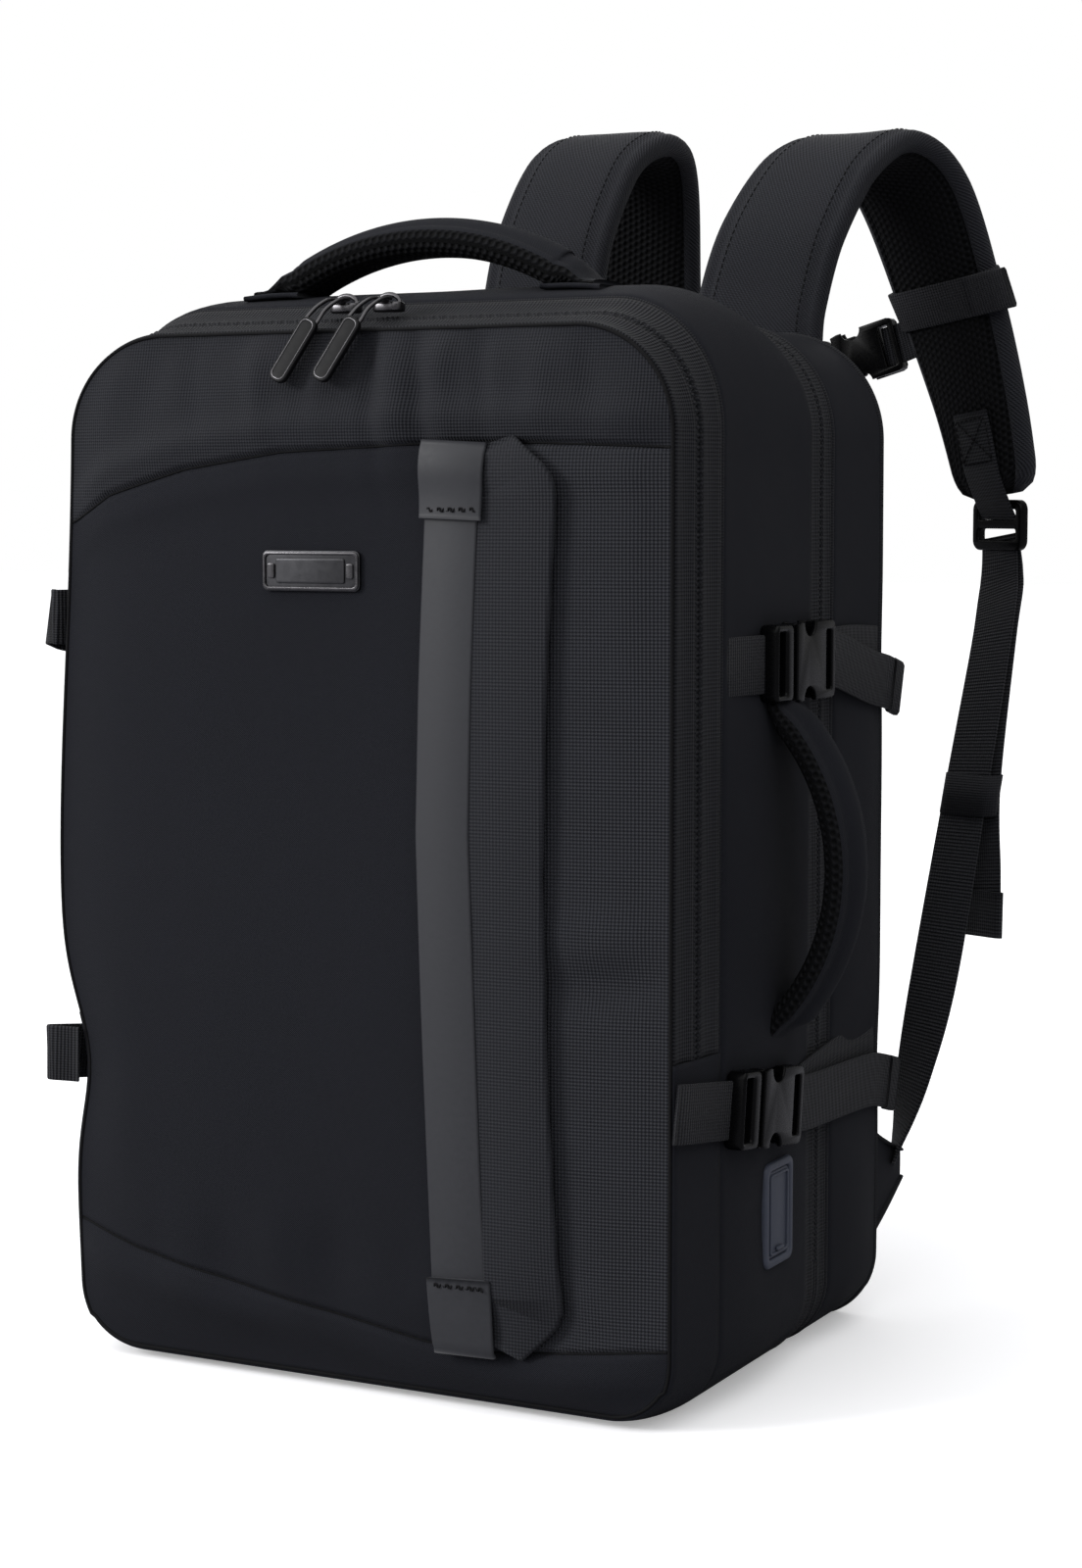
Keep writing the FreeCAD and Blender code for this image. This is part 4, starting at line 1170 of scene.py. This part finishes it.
def chest_loop(side, pad, height):
    """A narrow band right round the pad, and the tab that joins it to the chest webbing."""
    path, across, half, _ = pad
    along, out, normal = frames(path, across)
    i = int(np.argmin(np.abs(path[:, 2] - height) + (path[:, 1] < 0.18)))
    ring = pad_ring(half[i] + 0.0016, 0.0175, count=30, power=5)
    pts = np.array([path[i] + out[i] * a + normal[i] * b for a, b in ring])
    lean = unit(along[i] + out[i] * 0.12)
    loop = sweep(f"chest_loop_{side}", pts, tuple(lean), strap_profile(0.020, 0.0015), None, [M["webbing"]],
                 caps=False, closed=True)
    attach(loop, f"strap_{side}")
    outer = path[i] + out[i] * (half[i] + 0.001)
    rows = []
    for reach, lift in ((-0.012, 0.0098), (0.004, 0.0092), (0.013, 0.0095)):
        rows.append(tuple((outer + out[i] * reach + normal[i] * lift) / MM))
    stub = webbing(f"chest_loop_end_{side}", rows, width=0.020, across=tuple(along[i]), thick=0.003,
                   step=0.003)
    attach(stub, f"strap_{side}")


def build_chest_strap(pads):
    chest_loop("right", pads["right"], 0.481)
    chest_loop("left", pads["left"], 0.437)
    right = [(122, 222.5, 465), (113, 224, 462), (104, 225.5, 459.6)]
    lead = webbing("chest_webbing_right", right, width=0.020, body="strap_right", step=0.003)
    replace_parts(lead, "sternum_webbing_right")
    left = [(66, 225.5, 448.5), (50, 226.5, 443), (34, 229, 439.5), (18, 231.5, 438), (2, 232.5, 438),
            (-8, 232.5, 438.5)]
    rest = webbing("chest_webbing_left", left, width=0.020, body="strap_left", step=0.003)
    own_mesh(rest)
    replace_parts(rest, "sternum_webbing_left")


# ---- padded back


def back_pad(name, x0, x1, z0, z1, channels):
    """A crowned foam panel with moulded channels across it."""
    cols, rows = 61, 91
    verts, coords = [], []
    base = BACK_Y + 0.001
    for i in range(rows):
        v = math.sin(math.pi / 2 * (-1 + 2 * i / (rows - 1)))
        for j in range(cols):
            u = math.sin(math.pi / 2 * (-1 + 2 * j / (cols - 1)))
            round_off = abs(u) ** 7 + abs(v) ** 9
            x = (x0 + x1) / 2 + (x1 - x0) / 2 * u * (1 - 0.10 * abs(v) ** 8)
            z = (z0 + z1) / 2 + (z1 - z0) / 2 * v * (1 - 0.05 * abs(u) ** 8)
            h = 0.0130 * max(1 - round_off, 0) ** 0.45
            for at in channels:
                h -= 0.0042 * math.exp(-((z - at) / 0.0028) ** 2) * max(1 - round_off, 0)
            h += 0.0006 * wobble(x, 3, z, 22)
            verts.append((x, base + max(h, 0.0), z))
            coords.append((x, z))
    faces = [tuple(reversed(f)) for f in grid_faces(rows, cols)]
    back = len(verts)
    verts += [(x, base - 0.001, z) for x, _, z in verts]
    coords += coords
    faces += [tuple(back + k for k in reversed(f)) for f in faces]
    rim = list(range(cols)) + [i * cols + cols - 1 for i in range(1, rows)]
    rim += [(rows - 1) * cols + j for j in reversed(range(cols - 1))]
    rim += [i * cols for i in reversed(range(1, rows - 1))]
    for a, b in zip(rim, rim[1:] + rim[:1]):
        faces.append((a, b, back + b, back + a))
    obj = add_mesh(name, verts, faces, "bag", [M["mesh"]], coords=coords)
    return obj


def build_back_pads():
    pads = [
        back_pad("back_pad_right", 0.008, 0.104, 0.204, 0.404, (0.254, 0.304, 0.354)),
        back_pad("back_pad_left", -0.104, -0.008, 0.204, 0.404, (0.254, 0.304, 0.354)),
        back_pad("back_pad_lumbar", -0.104, 0.104, 0.042, 0.114, ()),
    ]
    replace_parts(pads[0], "back_pads")
    low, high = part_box("luggage_band")
    zs = np.linspace(low[2], high[2], 16)
    verts, coords = [], []
    xs = np.linspace(low[0] + 0.002, high[0] - 0.002, 90)
    for z in zs:
        for x in xs:
            rise = 0.0078 * float(smoothstep(0.0, 0.016, 0.120 - abs(x)))
            verts.append((x, BACK_Y + 0.0015 + rise, z))
            coords.append((x, z))
    faces = [tuple(reversed(f)) for f in grid_faces(len(zs), len(xs))]
    band = add_mesh("luggage_band_cloth", verts, faces, None, [M["plain"]], coords=coords)
    thicken(band, 0.0018)
    apply_modifiers(band)
    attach(band, "bag")
    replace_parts(band, "luggage_band")
    for name, z in (("luggage_band_hem_low", low[2]), ("luggage_band_hem_high", high[2])):
        path = [(x, BACK_Y + 0.0006 + 0.0078 * float(smoothstep(0.0, 0.016, 0.120 - abs(x))), z) for x in xs]
        sweep(name, path, (0, 1, 0), strap_profile(0.0034, 0.006), "bag", [M["binding"]])


# ---- moulded and metal parts


def rounded_rect(cx, cy, wide, high, radius, count=6):
    """A rounded rectangle's outline, centred on cx, cy."""
    pts = []
    for k, (sx, sy) in enumerate(((1, 1), (-1, 1), (-1, -1), (1, -1))):
        for i in range(count + 1):
            a = math.pi / 2 * (k + i / count)
            x = cx + sx * (wide / 2 - radius) + radius * math.cos(a)
            pts.append((x, cy + sy * (high / 2 - radius) + radius * math.sin(a)))
    return pts


def plate(name, loops, half_thick, bevel, place, mat, lift=0.0):
    """A flat part with eased edges. loops are outlines in millimetres, and place turns its own
    (across, up, out) into the bag's frame. An outline inside another is a hole."""
    curve = bpy.data.curves.new(name, "CURVE")
    curve.dimensions = "2D"
    curve.fill_mode = "BOTH"
    curve.extrude = half_thick - bevel
    curve.bevel_depth = bevel
    curve.bevel_resolution = 2
    curve.offset = -bevel
    for loop in loops:
        spline = curve.splines.new("POLY")
        spline.points.add(len(loop) - 1)
        for point, (u, v) in zip(spline.points, loop):
            point.co = (u * MM, v * MM, 0, 1)
        spline.use_cyclic_u = True
    shape = bpy.data.objects.new(name + "_outline", curve)
    bpy.context.scene.collection.objects.link(shape)
    bpy.context.view_layer.update()
    mesh = bpy.data.meshes.new_from_object(shape.evaluated_get(bpy.context.evaluated_depsgraph_get()))
    bpy.data.objects.remove(shape)
    bpy.data.curves.remove(curve)
    bm = bmesh.new()
    bm.from_mesh(mesh)
    for vert in bm.verts:
        vert.co = Vector(place(vert.co.x, vert.co.y, vert.co.z + lift))
    bmesh.ops.remove_doubles(bm, verts=bm.verts, dist=0.000005)
    bmesh.ops.recalc_face_normals(bm, faces=bm.faces)
    for face in bm.faces:
        face.smooth = True
        face.material_index = 0
    bm.to_mesh(mesh)
    bm.free()
    mesh.set_sharp_from_angle(angle=math.radians(32))
    mesh.name = name
    mesh.materials.clear()
    mesh.materials.append(mat)
    obj = bpy.data.objects.new(name, mesh)
    bpy.context.scene.collection.objects.link(obj)
    return obj


def placed(origin, across, up):
    """place(u, v, w) for a part at origin (millimetres) whose own axes are across, up and their normal."""
    origin, across, up = Vector(origin) * MM, Vector(across).normalized(), Vector(up).normalized()
    out = across.cross(up)
    return lambda u, v, w: origin + across * u + up * v + out * w


def scaled(loop, k):
    return [(u * k, v * k) for u, v in loop]


def socket_outline():
    """A buckle's socket seen flat: open at u 0, with a round press notch in each long edge."""
    pts = []
    for sign in (1, -1):
        side = [(1.5, 16.0), (6.0, 17.0)]
        for k in range(13):
            a = math.pi * k / 12
            side.append((15.5 - 6.5 * math.cos(a), 17.0 - 6.2 * math.sin(a)))
        side += [(40.5, 17.0), (42.8, 16.2), (44.0, 14.0)]
        pts += [(u, sign * v) for u, v in (side if sign > 0 else reversed(side))]
    return pts


def make_socket(name, place, k):
    window = rounded_rect(36.8, 0, 6.6, 26, 1.2)
    parts = []
    for tag, lift in (("", 3.8), ("_b", -3.8)):
        loops = [scaled(socket_outline(), k), scaled(window, k)]
        parts.append(plate(name + tag, loops, 0.0012 * k, 0.0007 * k, place, M["plastic"],
                           lift=lift * k * MM))
    block = scaled(rounded_rect(35.2, 0, 17.0, 33.4, 2.6), k)
    parts.append(plate(name + "_c", [block, scaled(window, k)], 0.0047 * k, 0.0012 * k, place, M["plastic"]))
    for v in (15.6, -15.6):
        rail = scaled(rounded_rect(4.6, v, 6.4, 1.9, 0.6), k)
        parts.append(plate(f"{name}_rail{v}", [rail], 0.0032 * k, 0.0004 * k, place, M["plastic"]))
    return join(*parts)


def make_clip(name, place, k):
    frame_bar = scaled(rounded_rect(-10.2, 0, 18.4, 33.0, 3.2), k)
    window = scaled(rounded_rect(-12.4, 0, 8.6, 26.6, 1.2), k)
    parts = [plate(name, [frame_bar, window], 0.0044 * k, 0.0015 * k, place, M["plastic"])]
    for v in (11.0, -11.0):
        arm = scaled(rounded_rect(8.2, v, 20.0, 4.2, 2.0), k)
        parts.append(plate(f"{name}_arm{v}", [arm], 0.0023 * k, 0.0008 * k, place, M["plastic"]))
    return join(*parts)


def build_side_buckles():
    middle = HALF_W / MM + 7.4
    first = None
    for row, sizes in SIDE_ROWS.items():
        a = math.radians(sizes["tilt"])
        place = placed((middle, sizes["mouth"], sizes["z"]), (0, math.cos(a), math.sin(a)),
                       (0, -math.sin(a), math.cos(a)))
        sockets = both_sides(lambda name: make_socket(name, place, 1.0), f"buckle_socket_{row}")
        both_sides(lambda name: make_clip(name, place, 1.0), f"buckle_clip_{row}",
                   lambda obj, side: (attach(obj, f"clip_{row}_{side}"), obj,
                                      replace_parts(obj, f"clip_{row}_{side}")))
        first = first or sockets[0]
    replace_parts(first, "buckle_sockets")


def build_chest_buckle():
    a = math.atan(0.3)
    place = placed((78, 225.5, 452), (math.cos(a), 0, math.sin(a)), (-math.sin(a), 0, math.cos(a)))
    halves = ((make_socket, "sternum_socket", "strap_right"), (make_clip, "sternum_clip", "sternum_clip"))
    for make, name, body in halves:
        obj = make(f"{name}_moulded", place, 0.8)
        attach(obj, body)
        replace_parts(obj, name)


def build_ladder_locks(pads):
    for side, x, y, yaw in (("right", 165.6, 224.6, -30), ("left", -37.6, 228.6, 8)):
        place = placed((x, y, 371.5), heading(yaw), (0, 0, 1))
        loops = [rounded_rect(0, 0, 36, 25, 5), rounded_rect(0, 5.2, 27, 5.2, 1.4),
                 rounded_rect(0, -4.6, 27, 5.6, 1.4)]
        lock = plate(f"ladder_lock_moulded_{side}", loops, 0.0026, 0.0011, place, M["plastic"])
        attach(lock, f"strap_{side}")
        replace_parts(lock, f"ladder_lock_{side}")
        path, across, _, run = pads[side]
        _, _, normal = frames(path, across)
        rows = [tuple(place(0, 3.0 * MM, 0.2 * MM) / MM), tuple(place(0, 8.5 * MM, 3.6 * MM) / MM)]
        for back in (0.004, 0.016, 0.030, 0.042):
            i = int(np.argmin(np.abs(run - (run[-1] - back))))
            rise = PAD_HALF_THICK * (0.75 if back < 0.01 else 1.0) + 0.0008
            rows.append(tuple((path[i] + normal[i] * rise) / MM))
        loop = webbing(f"lock_loop_{side}", rows, across=heading(yaw), body=f"strap_{side}", step=0.003)


def build_port():
    """The charging port: a moulded frame, and a cover with a rim and a nail notch."""
    place = placed((HALF_W / MM + 3.4, -23, 77), (0, 1, 0), (0, 0, 1))
    frame_loops = [rounded_rect(0, 0, 30, 46, 4.5), rounded_rect(0, 0, 22.5, 38.5, 2.5)]
    housing = plate("port_frame", frame_loops, 0.0031, 0.0012, place, M["port"])
    cover = plate("port_lid", [rounded_rect(0, 0, 21.9, 37.9, 2.4)], 0.0010, 0.0005, place, M["port"],
                  lift=0.0012)
    ridge = plate("port_lid_rim", [rounded_rect(0, 0, 19.5, 35.5, 1.8), rounded_rect(0, 0, 17.3, 33.3, 1.4)],
                  0.0006, 0.0003, place, M["port"], lift=0.0025)
    nail = plate("port_lid_notch", [rounded_rect(0, -15.4, 7.0, 1.6, 0.7)], 0.0006, 0.0003, place, M["port"],
                 lift=0.0031)
    lid = join(cover, ridge, nail)
    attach(housing, "bag")
    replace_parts(housing, "port_housing")
    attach(lid, "port_cover")
    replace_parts(lid, "port_cover")


def build_name_plate():
    """A plain metal label plate with a raised border and a rivet at each end."""
    x, z = -17.5, 354.2
    d = front_slope(x * MM, z * MM)
    y = min(front_depth((x + dx) * MM, z * MM) for dx in (-22, 0, 22)) / MM - 0.6
    place = placed((x, y, z), (d.x, d.y, 0), (0, 0, 1))
    base = plate("label_plate", [rounded_rect(0, 0, 47, 17, 2.6)], 0.0008, 0.0003, place, M["metal_dark"])
    border = plate("label_border", [rounded_rect(0, 0, 46, 16, 2.4), rounded_rect(0, 0, 43.6, 13.6, 1.8)],
                   0.0005, 0.0003, place, M["metal"], lift=0.0010)
    panel = plate("label_panel", [rounded_rect(0, 0, 33, 10.4, 1.0)], 0.0005, 0.0003, place, M["metal_dark"],
                  lift=0.0010)
    rivets = [plate(f"label_rivet_{k}", [rounded_rect(k * 19, 0, 3.2, 6.4, 0.9)], 0.0006, 0.0003, place,
                    M["metal"], lift=0.0010) for k in (-1, 1)]
    for obj in (base, border, panel, *rivets):
        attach(obj, "front_lid")
    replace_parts(base, "name_plate")


def build_slider(x, y, z, body, toward):
    """A zipper slider: a rounded body, and a bridge that holds the pull's wire."""
    place = placed((x, y, z), (1, 0, 0), (0, 1, 0))
    shell = plate(f"{body}_cast", [rounded_rect(0, 0, 13.5, 8.6, 3.2)], 0.0021, 0.0010, place, M["metal"])
    arch = [(x * MM + 0.0052 * math.cos(a), y * MM, (z + 1.9) * MM + 0.0034 * math.sin(a))
            for a in np.linspace(0, math.pi, 11)]
    bridge = sweep(f"{body}_bridge", np.array(arch), (0, 1, 0), round_profile(0.0011, 8), None, [M["metal"]])
    lug = plate(f"{body}_lug", [rounded_rect(0, toward * 4.6, 3.0, 6.4, 1.2)], 0.0011, 0.0005, place,
                M["metal"], lift=0.0028)
    for obj in (shell, bridge, lug):
        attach(obj, body)
    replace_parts(shell, body)


def build_pull(body, points, across, tab_from, tab_to, flat):
    """A pull: a wire loop from the slider, then a rubber tab in a metal edge that hangs from it."""
    wide = 0.0030
    left = [np.array(p) * MM - np.array(across) * wide for p in points]
    right = [np.array(p) * MM + np.array(across) * wide for p in reversed(points)]
    ring = curve_through(np.array(left + right), 0.0015)
    wire = sweep(f"{body}_wire", ring, flat, round_profile(0.0009), None, [M["metal"]], closed=True)
    a, b = Vector(tab_from), Vector(tab_to)
    down = (b - a).normalized()
    side = Vector(flat).cross(down).normalized()
    middle = (a + b) / 2
    length = (b - a).length
    place = placed(tuple(middle), tuple(side), tuple(-down))
    tab = plate(f"{body}_tab", [rounded_rect(0, 0, 8.8, length, 3.6)], 0.0014, 0.0006, place, M["rubber"])
    edges = [rounded_rect(0, 0, 7.2, length - 1.8, 2.9), rounded_rect(0, 0, 5.8, length - 3.2, 2.3)]
    rim = plate(f"{body}_rim", edges, 0.0017, 0.0003, place, M["metal"])
    for obj in (wire, tab, rim):
        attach(obj, body)
    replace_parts(tab, body)


def build_zip_hardware():
    for side, x in (("left", -18), ("right", 3)):
        build_slider(x, -95, 465.0, f"slider_{side}", -1)
        wire = [(x, -98.4, 468.5), (x - 1.0, -104, 468.2), (x - 3.0, -112.5, 463.5), (x - 5.0, -118, 456.8)]
        build_pull(f"pull_{side}", wire, (1, 0, 0), (x - 3.2, -117.5, 459.5), (x - 16.5, -126.0, 433.5),
                   (0, -1, 0.25))
    for side, x in (("left", -12), ("right", 12)):
        build_slider(x, 31, 464.6, f"rear_slider_{side}", 1)
        wire = [(x, 39.1, 465.2), (x, 41.5, 465.3), (x, 46, 466.3), (x, 51, 467.2)]
        build_pull(f"rear_pull_{side}", wire, (1, 0, 0), (x, 48.5, 468.6), (x, 74, 466.0), (0, 0.1, 1))


def dress(mat, *names):
    """Gives a carried-over CAD part its material."""
    for name in names:
        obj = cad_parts[name]
        obj.data.materials.clear()
        obj.data.materials.append(M[mat])


def build_hardware(pads):
    build_side_buckles()
    build_chest_buckle()
    build_ladder_locks(pads)
    build_port()
    build_name_plate()
    build_zip_hardware()
    dress("lining", "base_board", "laptop_divider", "back_stiffener")


def build_all():
    fold = build_front()
    build_front_trim()
    build_shell()
    build_back_panel()
    build_back_pads()
    pads = {side: build_pad(side) for side in ("right", "left")}
    for side in ("right", "left"):
        build_adjuster(side)
    build_anchor_tabs()
    build_handles()
    build_side_webbing()
    build_chest_strap(pads)
    build_hardware(pads)


build_all()

# ---- floor, lights and camera


def area_light(name, place, target, size, power):
    data = bpy.data.lights.new(name, "AREA")
    data.energy = power
    data.shape = "RECTANGLE"
    data.size, data.size_y = size
    obj = bpy.data.objects.new(name, data)
    obj.location = place
    obj.rotation_euler = (Vector(target) - Vector(place)).to_track_quat("-Z", "Y").to_euler()
    bpy.context.scene.collection.objects.link(obj)


def by_ray(nodes, links, for_light, for_camera, output):
    """Shows the camera one shader, and lets every other ray meet a second one."""
    rays = nodes.new("ShaderNodeLightPath")
    pick = nodes.new("ShaderNodeMixShader")
    links.new(rays.outputs["Is Camera Ray"], pick.inputs[0])
    links.new(for_light.outputs[0], pick.inputs[1])
    links.new(for_camera.outputs[0], pick.inputs[2])
    links.new(pick.outputs[0], output.inputs[0])


def floor_material():
    """A pale matt floor that sends only a little light back up on to the dark cloth."""
    made = Material("floor_pale", (0.86, 0.86, 0.88), 0.9, spec=0.1)
    made.set(made.shader, "Emission Color", (1, 1, 1, 1))
    made.set(made.shader, "Emission Strength", 0.30)
    dim = made.nodes.new("ShaderNodeBsdfDiffuse")
    made.set(dim, "Color", (0.36, 0.36, 0.39, 1))
    by_ray(made.nodes, made.links, dim, made.shader, made.nodes["Material Output"])
    return made.mat


def build_stage():
    half = 12.0
    floor = add_mesh("floor", [(-half, -half, 0), (half, -half, 0), (half, half, 0), (-half, half, 0)],
                     [(0, 1, 2, 3)])
    floor.data.materials.append(floor_material())
    world = bpy.data.worlds.new("soft_white")
    world.use_nodes = True
    nodes = world.node_tree.nodes
    sky, shown = nodes["Background"], nodes.new("ShaderNodeBackground")
    sky.inputs[0].default_value = (1, 1, 1, 1)
    sky.inputs[1].default_value = 0.34
    shown.inputs[0].default_value = (1, 1, 1, 1)
    by_ray(nodes, world.node_tree.links, sky, shown, nodes["World Output"])
    bpy.context.scene.world = world
    middle = (0.0, 0.0, 0.25)
    sun = bpy.data.lights.new("sky_soft", "SUN")
    sun.energy = 2.7
    sun.angle = math.radians(110)
    high = bpy.data.objects.new("sky_soft", sun)
    high.rotation_euler = (math.radians(26), math.radians(-7), 0)
    bpy.context.scene.collection.objects.link(high)
    area_light("key_front", (-1.9, -2.1, 1.3), middle, (0.8, 1.0), 58)
    area_light("side_strip", (2.3, -0.9, 1.6), middle, (0.5, 1.6), 2)
    area_light("rim_back", (-0.8, 2.2, 1.4), middle, (1.2, 1.2), 6)


def build_camera():
    bpy.context.scene.view_settings.view_transform = "Standard"
    azimuth, elevation = math.radians(27.27), math.radians(5.33)
    data = bpy.data.cameras.new("camera")
    data.sensor_width = 36
    data.lens = 69.93
    data.clip_end = 50
    obj = bpy.data.objects.new("camera", data)
    obj.location = (0.65591, -1.22156, 0.38392)
    level = math.cos(elevation)
    look = Vector((-math.sin(azimuth) * level, math.cos(azimuth) * level, -math.sin(elevation)))
    obj.rotation_euler = look.to_track_quat("-Z", "Y").to_euler()
    bpy.context.scene.collection.objects.link(obj)
    bpy.context.scene.camera = obj


build_stage()
build_camera()
